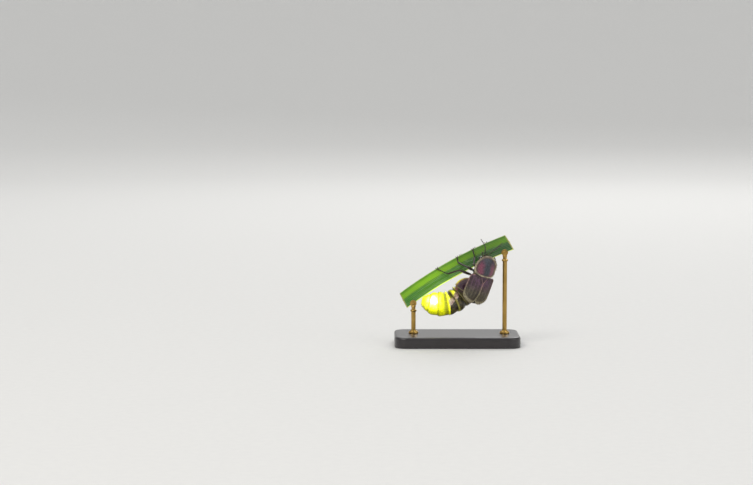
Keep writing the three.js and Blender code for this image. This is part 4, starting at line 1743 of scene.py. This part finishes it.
        # Its side lobe grows towards its hind end.
        fold_at = self.fold_place(share)
        lobe = bell(sine, fold_at + 0.33, 0.13) * (np.abs(cosine) > 0.5)
        sweep = float(ease(part, 0.15, 0.85)) * (1 - 0.75 * float(ease(part, 0.93, 1.0)))
        lobe = jut * lobe * (0.04 + self.lobe_reach * sweep) * (0.35 if smooth else 1.0)
        knob = jut * bell(sine, self.knob_place(share), 0.17) * (1 - float(ease(share, 0.454, 0.6)))
        girth = girth * (1 + knob * (self.knob_rise * float(bell(part, 0.52, 0.26)) - 0.03))
        fold = jut * bell(sine, fold_at, 0.1) * (self.fold_depth + 0.05 * math.cos(2 * math.pi * part))
        crease = jut * self.crease_depth * bell(sine, fold_at, 0.2) * bell(part, 0.0, 0.09)
        keel = self.keel_height * bell(cosine, 0.0, 0.12) * (sine > 0) * jut
        furrow = (0.0 if jut else self.furrow_depth) * bell(cosine, 0.0, 0.06) * (sine < 0)
        return girth, np.sign(cosine) * (lobe - fold - crease), keel + furrow

    def marks(self, ring: SkinRing, points: Array, cosine: Array, sine: Array) -> dict:
        """Where one ring of the skin shows plates, soft skin, edges, painted shade in its creases, the light
        organ, and the organ's light painted on the segments before it.

        Args:
            ring: The ring.
            points: The ring's points, in the world.
            cosine: Direction of each point across.
            sine: Direction of each point towards the back.

        Returns:
            Numbers from 0 to 1 for each mark.
        """
        part, share = ring.part, ring.share
        jut = 1.0 if ring.segment >= 0 else 0.0
        lit = float(ease(share, *self.lantern_from))
        # The skin between back and belly plates is lens-shaped: widest in the middle of the segment.
        spread = math.sin(math.pi * min(max(part, 0.0), 1.0)) ** 0.5
        upper = self.fold_place(share) + 0.02 + 0.13 * spread
        lower = self.fold_place(share) - 0.12 - 0.14 * spread
        plates = ease(sine, upper + (0.45 - upper) * lit, upper + 0.16 + (0.7 - upper) * lit)
        belly = 1 - ease(sine, lower - 0.06, lower + 0.1)
        skin = (1 - plates) * (1 - belly) * jut
        edge = float(ease(part, 0.8, 0.92)) * jut * np.maximum(plates * 0.8, belly)
        ends = max(float(bell(part, 0.0, 0.06)), float(bell(part, 1.0, 0.06)))
        # The organ is hottest at its middle and dimmer over its back, at its seams and at its front rim.
        near = bell(np.linalg.norm(points - np.array(self.glow_centre), axis=-1), 0.0, self.glow_reach)
        seams = max(float(bell(share, end, 0.007)) for end in self.segment_ends[6:8])
        dim = 0.1 * ease(sine, -0.1, 0.5)
        heat = lit * (self.lantern_heat + self.glow_heat * near - dim - 0.16 * seams - 0.2 * plates)
        heat = heat + lit * (0.2 * bell(share, 0.591, 0.009) - 0.17 * bell(share, 0.626, 0.018))
        # Its light on the segments before it is painted on as glow: a pool over their bellies and hind skin,
        # and painted highlights on their side pieces and hind edges.
        spill = bell(share, 0.58, 0.145) * (1 - lit)
        heat = heat + spill * (0.62 * belly * bell(part, 0.75, 0.16) + 0.2 * bell(part, 0.85, 0.1) * skin)
        caught = bell(sine, self.knob_place(share), 0.15) * ease(-cosine, 0.2, 0.5)
        caught = caught * bell(share, 0.308, 0.218) * (0.2 + 0.8 * bell(part, 0.52, 0.2))
        heat = heat + 0.62 * caught * (1 - lit) * jut
        heat = heat + 0.3 * edge * plates * bell(share, 0.517, 0.063) * (1 - lit)
        return {
            "front": (1 - float(ease(share, 0.2, 0.363))) * jut * (1 - skin),
            "belly": belly * jut,
            "skin": skin,
            # paler towards the lantern: the skin's own tone with painted lantern light
            "pale": float(ease(share, 0.308, 0.5)),
            # painted shade in the creases at the segment ends
            "crease": skin * ends,
            "edge": edge * (1 - lit * 0.5),
            "back": lit * plates,
            "organ": lit * (1 - plates),
            "glow": np.minimum(heat, 0.6 + 0.4 * lit),
        }

    def build_skin(self) -> None:
        """Makes the skin: overlapping plates above and below, and pinkish folds between them."""
        angle = circle(self.around)
        cosine, sine = np.cos(angle), np.sin(angle)
        # A little squarer than an ellipse
        aside_of = np.sign(cosine) * np.abs(cosine) ** 0.92
        above_of = np.sign(sine) * np.abs(sine) ** 0.96
        rows, marks = [], []
        for ring in self.rings():
            girth, aside, above = self.section(ring, cosine, sine)
            reach_x = ring.half_width * girth * aside_of + aside
            reach_z = ring.half_height * girth * above_of + above
            points = ring.centre + reach_x[:, None] * ring.across + reach_z[:, None] * ring.back
            rows.append(points)
            marks.append(self.marks(ring, self.pose.world(points), cosine, sine))
        values = {name: np.array([m[name] + 0 * angle for m in marks]) for name in marks[0]}
        skin = np.array(rows)
        shape = Shape()
        shape.tube(self.pose.world(skin), **values)
        self.add_head(shape, {name: 0.0 for name in values})
        shape.build("body_skin", AbdomenSkin(), "abdomen", (
            "thorax", "abdomen_front", "abdomen_middle", "lantern_front", "lantern_rear", "abdomen_tip",
            "head",
        ), sharp=70.0)
        self.build_bristles(skin)

    def build_bristles(self, skin: Array) -> None:
        """Makes fine hairs that lie back over the abdomen's plates.

        Args:
            skin: Points of the skin, by ring.
        """
        random = np.random.default_rng(19)
        grid = skin[1 + self.thorax_steps:]
        middles = grid.mean(axis=1, keepdims=True)
        normals = grid_normals(grid)
        normals *= np.sign(((grid - middles) * normals).sum(axis=-1, keepdims=True))
        rows, columns = random.uniform(0.02, 0.98, self.bristles), random.uniform(0, 1, self.bristles)
        axes = self.pose.axes()
        lie = unit(read_grid(np.broadcast_to(np.gradient(middles, axis=0), grid.shape), rows, columns))
        lie = lie + random.normal(0, 0.15, lie.shape)
        shape = Shape()
        roots = self.pose.world(read_grid(grid, rows, columns))
        rise = read_grid(normals, rows, columns) @ axes
        lengths = self.bristle_length * random.uniform(0.6, 1.2, self.bristles)
        shape.hairs(roots, lie @ axes, rise, lengths, BRISTLE_WIDTH, (columns, rows))
        shape.build("abdomen_down", FineDown(name="abdomen down, golden hairs"), "abdomen")

    def eye_place(self, side: Side) -> Array:
        """Middle of an eye, in the insect's frame."""
        return np.array(self.head_place) + np.array((side.value * self.eye_spread, 0.12, -0.08))

    def add_head(self, shape: Shape, none: dict) -> None:
        """Adds the head capsule with its brow, face plate and mouthparts.

        Args:
            shape: The skin that it joins.
            none: A zero for each of the skin's marks.
        """
        centre, half = np.array(self.head_place), np.array(self.head_size) / 2
        x, y, z = ball(40, 64, 0.05)
        pinch = 1 - 0.16 * bell(y, 0.62, 0.16) * (z < 0.4)
        dent = 0.1 * bell(x, 0, 0.22) * bell(y, 0.7, 0.25) * (z > -0.2)
        points = np.stack([
            x * half[0] * pinch, y * half[1] * (1 - 0.08 * x * x), z * half[2] * pinch - dent,
        ], axis=-1)
        shape.tube(self.pose.world(points + centre), **none)
        mouth = centre + np.array((0, half[1] * 0.84, -half[2] * 0.6))
        lip = Limb.segment(mouth - (0, 0.2, 0), mouth + (0, 0.3, -0.05), (0.42, 0.5, 0.34), 28)
        pale = {**none, "belly": 0.6}
        shape.tube(self.pose.world(lip), **pale)
        for side in Side:
            s = side.value
            palp = [mouth + np.array(joint) for joint in (
                (0.3 * s, 0.0, -0.12), (0.55 * s, 0.28, -0.36), (0.6 * s, 0.52, -0.5), (0.5 * s, 0.78, -0.5),
            )]
            girths = ((0.1, 0.13, 0.1), (0.1, 0.13, 0.1), (0.1, 0.16, 0.05))
            for start, end, girth in zip(palp, palp[1:], girths):
                shape.tube(self.pose.world(Limb.segment(start, end, girth, 20)), **none)
            hook = ((0.26 * s, 0.0, 0.0), (0.3 * s, 0.3, 0.02), (0.02 * s, 0.46, 0.0))
            jaw = SmoothPath([mouth + np.array(point) for point in hook])
            shape.tube(self.pose.world(Limb.curve(jaw, ((0, 0.15), (0.5, 0.11), (1, 0.03)), 16, 20)), **pale)

    def build_eyes(self) -> None:
        """Makes the two compound eyes."""
        for side in Side:
            x, y, z = ball(48, 72, 0.02)
            points = np.stack([x, y * 1.06, z], axis=-1) * self.eye_radius * 0.98
            shape = Shape()
            shape.tube(self.pose.world(points + self.eye_place(side)))
            shape.build(f"compound_{side.word}", CompoundEye(), "eye", (f"eye_{side.word}",))

    def build(self) -> None:
        """Makes the skin, head and eyes."""
        self.build_skin()
        self.build_eyes()


class Limb:
    """Ways to draw jointed limbs as rings of points."""

    @staticmethod
    def rings(centres: Array, directions: Array, radii: Array, around: int,
              flatten: float = 1.0) -> Array:
        """Rings about a line of centres.

        Args:
            centres: Their middles.
            directions: Their axes.
            radii: Their radii.
            around: Points in each.
            flatten: Depth as a share of width.

        Returns:
            Rings by points by 3.
        """
        guide = np.array((0.0, 0.0, 1.0))
        if abs(unit(directions[0]).dot(guide)) > 0.9:
            guide = np.array((1.0, 0.0, 0.0))
        turns = circle(around)
        made = []
        for centre, direction, radius in zip(centres, unit(directions), radii):
            first = unit(np.cross(direction, guide))
            second = np.cross(first, direction)
            ring = np.cos(turns)[:, None] * first + flatten * np.sin(turns)[:, None] * second
            made.append(centre + radius * ring)
        return np.array(made)

    @staticmethod
    def segment(start: Array, end: Array, radii: tuple, around: int,
                flatten: float = 1.0, steps: int = 18) -> Array:
        """One joint of a limb: narrow at its root, swollen, and rounded at its end.

        Args:
            start: Where it begins.
            end: Where it ends.
            radii: Radius near its start, at its middle and near its end.
            around: Points in each ring.
            flatten: Depth as a share of width.
            steps: Number of rings.

        Returns:
            Rings by points by 3.
        """
        start, end = np.asarray(start, float), np.asarray(end, float)
        length = np.linalg.norm(end - start)
        along = (1 - np.cos(np.linspace(0, math.pi, steps))) / 2
        girth = profile(((0, radii[0]), (0.5, radii[1]), (1, radii[2])), along)
        near, far = (min(0.45, 0.9 * radius / length) for radius in (radii[0], radii[2]))
        rounded_end = np.sqrt(np.clip(1 - np.maximum(0, (along - 1 + far) / far) ** 2, 0.02, 1))
        rounded_root = np.sqrt(np.clip(1 - np.maximum(0, (near - along) / near) ** 2, 0.02, 1))
        girth = girth * rounded_end * rounded_root
        centres = start + (end - start) * along[:, None]
        return Limb.rings(centres, np.tile(end - start, (steps, 1)), girth, around, flatten)

    @staticmethod
    def curve(path: SmoothPath, radii: tuple, around: int, steps: int) -> Array:
        """A curved, tapered piece along a path.

        Args:
            path: Its middle line.
            radii: Pairs of share and radius.
            around: Points in each ring.
            steps: Number of rings.

        Returns:
            Rings by points by 3.
        """
        share = np.linspace(0, 1, steps)
        round_off = np.sqrt(np.clip(1 - ((share - 0.5) / 0.5) ** 16, 0.03, 1))
        return Limb.rings(path.at(share), path.along(share), profile(radii, share) * round_off, around)

    @staticmethod
    def joint_mask(steps: int, around: int) -> Array:
        """Paleness of a limb's joint, strongest at its two ends."""
        along = np.linspace(0, 1, steps)[:, None]
        return (0.7 * (1 - ease(along, 0.0, 0.12)) + 0.5 * ease(along, 0.93, 1.0)) * np.ones((1, around))

    @staticmethod
    def bristle_roots(random: np.random.Generator, start: Array, end: Array, reach: float,
                      count: int, first: float) -> tuple:
        """Scatters bristles round one length of a limb.

        Args:
            random: The draw.
            start: Where the length begins.
            end: Where it ends.
            reach: Distance of the roots from its middle line.
            count: Number of bristles.
            first: Share of the length at which they begin.

        Returns:
            Shares along the length, roots, directions outward and directions of lie.
        """
        along = random.uniform(first, 0.98, count)
        direction = unit(end - start)
        spread = random.normal(0, 1, (count, 3))
        rise = unit(spread - (spread @ direction)[:, None] * direction)
        roots = start + (end - start) * along[:, None] + rise * reach
        return along, roots, rise, direction + random.normal(0, 0.1, (count, 3))


@dataclass
class Legs:
    """Six legs that grip the blade: the left ones over its near face, the right ones behind it."""

    pose: BodyFrame
    body: Body
    perch: GrassPerch
    coxa: float = 0.36
    femur: float = 0.35
    tibia: float = 0.2
    tarsus: float = 0.15
    claw: float = 0.06
    claw_fork: float = 0.22
    tarsus_joints: int = 5
    bristles_per_mm: int = 70
    bristle_length: float = 0.16
    paths: dict = field(default_factory=lambda: {
        (Side.LEFT, Pair.FRONT): ((3.2, -3.0, 16.4), (3.5, -1.05, 17.6), 17.0),
        (Side.LEFT, Pair.MIDDLE): ((1.9, -2.6, 15.85), (0.15, -1.0, 16.6), 13.6),
        (Side.LEFT, Pair.HIND): ((0.4, -2.6, 15.2), (-1.9, -0.9, 14.3), 9.1),
        (Side.RIGHT, Pair.FRONT): ((7.0, 0.3, 15.6), (7.7, 1.6, 17.1), 19.9),
        (Side.RIGHT, Pair.MIDDLE): ((6.4, 0.9, 14.7), (6.0, 1.55, 16.6), 17.4),
        (Side.RIGHT, Pair.HIND): ((4.9, 1.3, 13.6), (3.9, 1.6, 15.5), 14.4),
    })

    def hip(self, side: Side, pair: Pair) -> Array:
        """Middle of a coxa, set against the underside of the thorax, in the world."""
        x, y = side.value * pair.value[0], pair.value[1]
        return self.pose.world(np.array((x, y, self.body.underside(x, y) - self.coxa * 0.7)))

    def build_leg(self, side: Side, pair: Pair) -> None:
        """Makes one leg from hip to claws.

        Args:
            side: Which side.
            pair: Which pair.
        """
        knee, ankle, station = (np.array(v) for v in self.paths[side, pair])
        near = 1 if side is Side.LEFT else -1
        hip = self.hip(side, pair)
        out, shank = unit(knee - hip), unit(ankle - knee)
        # Behind the blade the keel and the ribs need a little more room.
        lift = self.perch.half_plate + self.tarsus + (0.12 if near < 0 else 0.0)
        toe = self.perch.place(station, 0.9, near * lift)
        inward = unit(self.pose.world((0, 0, 0.5)) - hip)
        shape = Shape()
        trochanter = hip + out * 0.5
        pieces = [
            (hip + inward * 0.3, hip + out * 0.18, (self.coxa * 0.8, self.coxa, self.coxa * 0.85), 1.0),
            (hip + out * 0.12, trochanter + out * 0.12, (0.26, 0.3, 0.22), 1.0),
            (trochanter, knee, (self.femur * 0.62, self.femur, self.femur * 0.62), 0.8),
            (knee - shank * 0.1, ankle, (self.tibia * 0.8, self.tibia, self.tibia * 1.1), 0.85),
        ]
        for start, end, girth, flatten in pieces:
            shape.tube(Limb.segment(start, end, girth, 28, flatten, 26), joint=Limb.joint_mask(26, 28))
        middle = 0.5 * (ankle + toe) + self.perch_side(station, near) * 0.06
        track = SmoothPath([ankle, middle, toe])
        for joint in range(self.tarsus_joints):
            start, end = track.at([joint / self.tarsus_joints, (joint + 0.94) / self.tarsus_joints])
            lobed = 1.35 if joint == self.tarsus_joints - 2 else 1.0
            girth = tuple(self.tarsus * s * lobed for s in (0.62, 0.85, 1.0))
            shape.tube(Limb.segment(start, end, girth, 20, 0.8, 14), joint=Limb.joint_mask(14, 20))
        self.add_claws(shape, station, near, toe)
        spans = ((trochanter, knee, self.femur), (knee, ankle, self.tibia), (ankle, toe, self.tarsus))
        self.add_bristles(shape, spans, seed=(side.value + 2) * 10 + list(Pair).index(pair))
        place = f"{pair.word}_{side.word}"
        shape.build(f"limb_{place}", LimbCuticle(), "limb", (f"leg_{place}",))

    def perch_side(self, station: float, near: int) -> Array:
        """Direction from the blade to the side that a leg is on."""
        return unit(self.perch.place(station, 0, 1.0) - self.perch.place(station, 0, 0.0)) * near

    def add_claws(self, shape: Shape, station: float, near: int, toe: Array) -> None:
        """Adds two claws that hook over the blade's upper edge.

        Args:
            shape: The leg that they join.
            station: Place along the blade.
            near: 1 on the near face and -1 behind.
            toe: End of the last tarsal joint.
        """
        lift = self.perch.half_plate + self.claw
        hook = ((1.0, lift + 0.1, 0.5), (1.1, lift, 0.9), (1.13, 0.0, 1.0), (1.02, -lift * 1.1, 1.05))
        radii = ((0, self.claw * 1.2), (0.4, self.claw), (0.8, self.claw * 0.6), (1, self.claw * 0.2))
        for fork in (-self.claw_fork, self.claw_fork):
            points = [toe - self.perch_side(station, near) * 0.02]
            for across, height, slide in hook:
                points.append(self.perch.place(station + fork * slide, across, near * height))
            shape.tube(Limb.curve(SmoothPath(points), radii, 12, 20), joint=0.15)

    def add_bristles(self, shape: Shape, spans: tuple, seed: int) -> None:
        """Adds short bristles along a leg.

        Args:
            shape: The leg that they join.
            spans: Start, end and radius of each length.
            seed: Seed of the draw.
        """
        random = np.random.default_rng(seed)
        for start, end, radius in spans:
            count = int(self.bristles_per_mm * np.linalg.norm(end - start))
            along, roots, rise, lie = Limb.bristle_roots(random, start, end, radius * 0.78, count, 0.05)
            lengths = self.bristle_length * random.uniform(*HAIR_VARIES, count)
            shape.hairs(roots, lie, rise, lengths, BRISTLE_WIDTH, (along, random.uniform(0, 1, count)))

    def build(self) -> None:
        """Makes all six legs."""
        for side in Side:
            for pair in Pair:
                self.build_leg(side, pair)


@dataclass
class Antennae:
    """Two feelers of eleven joints, from under the shield's front edge."""

    pose: BodyFrame
    body: Body
    radius: float = 0.17
    joints: int = 11
    # Lengths of the first two joints, as shares of the others'
    first_joints: tuple = (1.6, 0.6)
    joint_bristles: int = 26
    bristle_length: float = 0.12
    routes: dict = field(default_factory=lambda: {
        Side.LEFT: ((5.5, -2.35, 19.9), (4.7, -1.7, 21.3)),
        Side.RIGHT: ((7.6, -2.1, 19.3), (9.0, -1.9, 20.6)),
    })

    def build(self) -> None:
        """Makes both feelers."""
        head, half_length = np.array(self.body.head_place), self.body.head_size[1] * 0.5
        ends = np.r_[0, np.cumsum([*self.first_joints, *[1.0] * (self.joints - len(self.first_joints))])]
        ends = ends / ends[-1]
        for side in Side:
            root = head + np.array((side.value * 0.36, half_length - 0.1, 0.08))
            bend = root + np.array((side.value * 0.25, 0.95, -0.1))
            path = SmoothPath([root, bend, *(self.pose.local(np.array(p)) for p in self.routes[side])])
            shape = Shape()
            random = np.random.default_rng(60 + side.value)
            for joint, (start, end) in enumerate(zip(ends, ends[1:])):
                a, b = self.pose.world(path.at([start, end - 0.004]))
                taper = 1.0 - 0.4 * joint / self.joints
                girth = tuple(self.radius * taper * s for s in (0.5, 0.85, 1.0))
                shape.tube(Limb.segment(a, b, girth, 18, 0.82, 14), joint=Limb.joint_mask(14, 18))
                count = self.joint_bristles
                along, roots, rise, lie = Limb.bristle_roots(random, a, b, girth[1] * 0.8, count, 0.1)
                shape.hairs(roots, lie, rise, self.bristle_length, 0.02, (along, random.uniform(0, 1, count)))
            shape.build(f"feeler_{side.word}", LimbCuticle(), "limb", (f"antenna_{side.word}",))


# Studio


@dataclass
class Studio:
    """A pale floor that sweeps up all round, soft lamps and the photograph's camera."""

    radius: float = 0.6
    sweep: float = 1.6
    lens: float = 100.0
    sensor: float = 36.0
    elevation: float = 5.0
    ambient: float = 0.5
    wall: float = 2.4
    # Name, place and width in metres, power in watts and linear colour of each lamp
    lamps: tuple = (
        ("key", (-0.32, -0.42, 0.5), 0.35, 2.1, (1.0, 0.97, 0.93)),
        ("fill", (0.5, -0.3, 0.28), 0.4, 0.7, (0.93, 0.96, 1.0)),
        ("back", (0.12, 0.5, 0.42), 0.35, 1.2, (1.0, 1.0, 1.0)),
        ("ceiling", (0.0, 0.9, 2.2), 2.0, 19.0, (1.0, 1.0, 1.0)),
    )

    def build_floor(self) -> None:
        """Makes the floor and its sweep."""
        levels = [(r, 0.0) for r in np.linspace(0.002, self.radius, 12)]
        for angle in np.linspace(0, math.pi / 2, 16)[1:]:
            levels.append((self.radius + self.sweep * math.sin(angle), self.sweep * (1 - math.cos(angle))))
        levels.append((self.radius + self.sweep, self.wall))
        turns = circle(96)
        points = [(r * math.cos(t), r * math.sin(t), z) for r, z in levels for t in turns]
        count = len(turns)
        faces = [
            (low + k, low + (k + 1) % count, low + count + (k + 1) % count, low + count + k)
            for low in range(0, (len(levels) - 1) * count, count) for k in range(count)
        ]
        faces.append(tuple(reversed(range(count))))
        mesh = bpy.data.meshes.new("floor")
        mesh.from_pydata(points, [], faces)
        mesh.flip_normals()
        mesh.shade_smooth()
        mesh.materials.append(StudioPaper().material())
        floor = bpy.data.objects.new("floor", mesh)
        bpy.context.scene.collection.objects.link(floor)

    def build_lamp(self, name: str, place: tuple, size: float, power: float, colour: tuple) -> None:
        """Makes one soft lamp that faces the model.

        Args:
            name: Its name.
            place: Where it hangs, in metres.
            size: Its width in metres.
            power: Its power in watts.
            colour: Its linear colour.
        """
        lamp = bpy.data.lights.new(name, "AREA")
        lamp.size = size
        lamp.energy = power
        lamp.color = colour
        holder = bpy.data.objects.new(name, lamp)
        holder.location = place
        holder.rotation_euler = (Vector((0, 0, 0.01)) - Vector(place)).to_track_quat("-Z", "Y").to_euler()
        bpy.context.scene.collection.objects.link(holder)

    def build_camera(self) -> None:
        """Sets the camera level with the insect, with the photograph's framing."""
        width = PHOTO_WIDTH / PIXELS_PER_MM * MM
        distance = width * self.lens / self.sensor
        x = (PHOTO_WIDTH / 2 - PIXEL_OF_ORIGIN[0]) / PIXELS_PER_MM * MM
        z = (PIXEL_OF_ORIGIN[1] - PHOTO_HEIGHT / 2) / PIXELS_PER_MM * MM
        angle = math.radians(self.elevation)
        target = Vector((x, 0, z))
        data = bpy.data.cameras.new("camera")
        data.lens = self.lens
        data.sensor_width = self.sensor
        data.clip_start = 0.005
        data.clip_end = 10.0
        camera = bpy.data.objects.new("camera", data)
        camera.location = target + distance * Vector((0, -math.cos(angle), math.sin(angle)))
        camera.rotation_euler = (target - camera.location).to_track_quat("-Z", "Y").to_euler()
        bpy.context.scene.collection.objects.link(camera)
        bpy.context.scene.camera = camera

    def build_world(self) -> None:
        """Sets a faint even light from all round, and colours that show as they are."""
        bpy.context.scene.view_settings.view_transform = "Standard"
        world = bpy.data.worlds.new("studio")
        world.use_nodes = True
        sky = world.node_tree.nodes["Background"]
        sky.inputs["Color"].default_value = (0.93, 0.96, 1.0, 1.0)
        sky.inputs["Strength"].default_value = self.ambient
        bpy.context.scene.world = world

    def build(self) -> None:
        """Makes floor, lamps, world and camera."""
        self.build_camera()
        self.build_floor()
        self.build_world()
        for lamp in self.lamps:
            self.build_lamp(*lamp)


def main() -> None:
    """Builds the model and its studio, in order."""
    logging.basicConfig(level=logging.INFO, format="%(name)s: %(message)s")
    Studio().build()
    perch = GrassPerch()
    perch.build()
    DisplayStand(perch).build()
    pose = BodyFrame()
    body = Body(pose)
    body.build()
    Shield(pose).build()
    WingCases(pose).build()
    Legs(pose, body, perch).build()
    Antennae(pose, body).build()


if __name__ == "__main__":
    main()
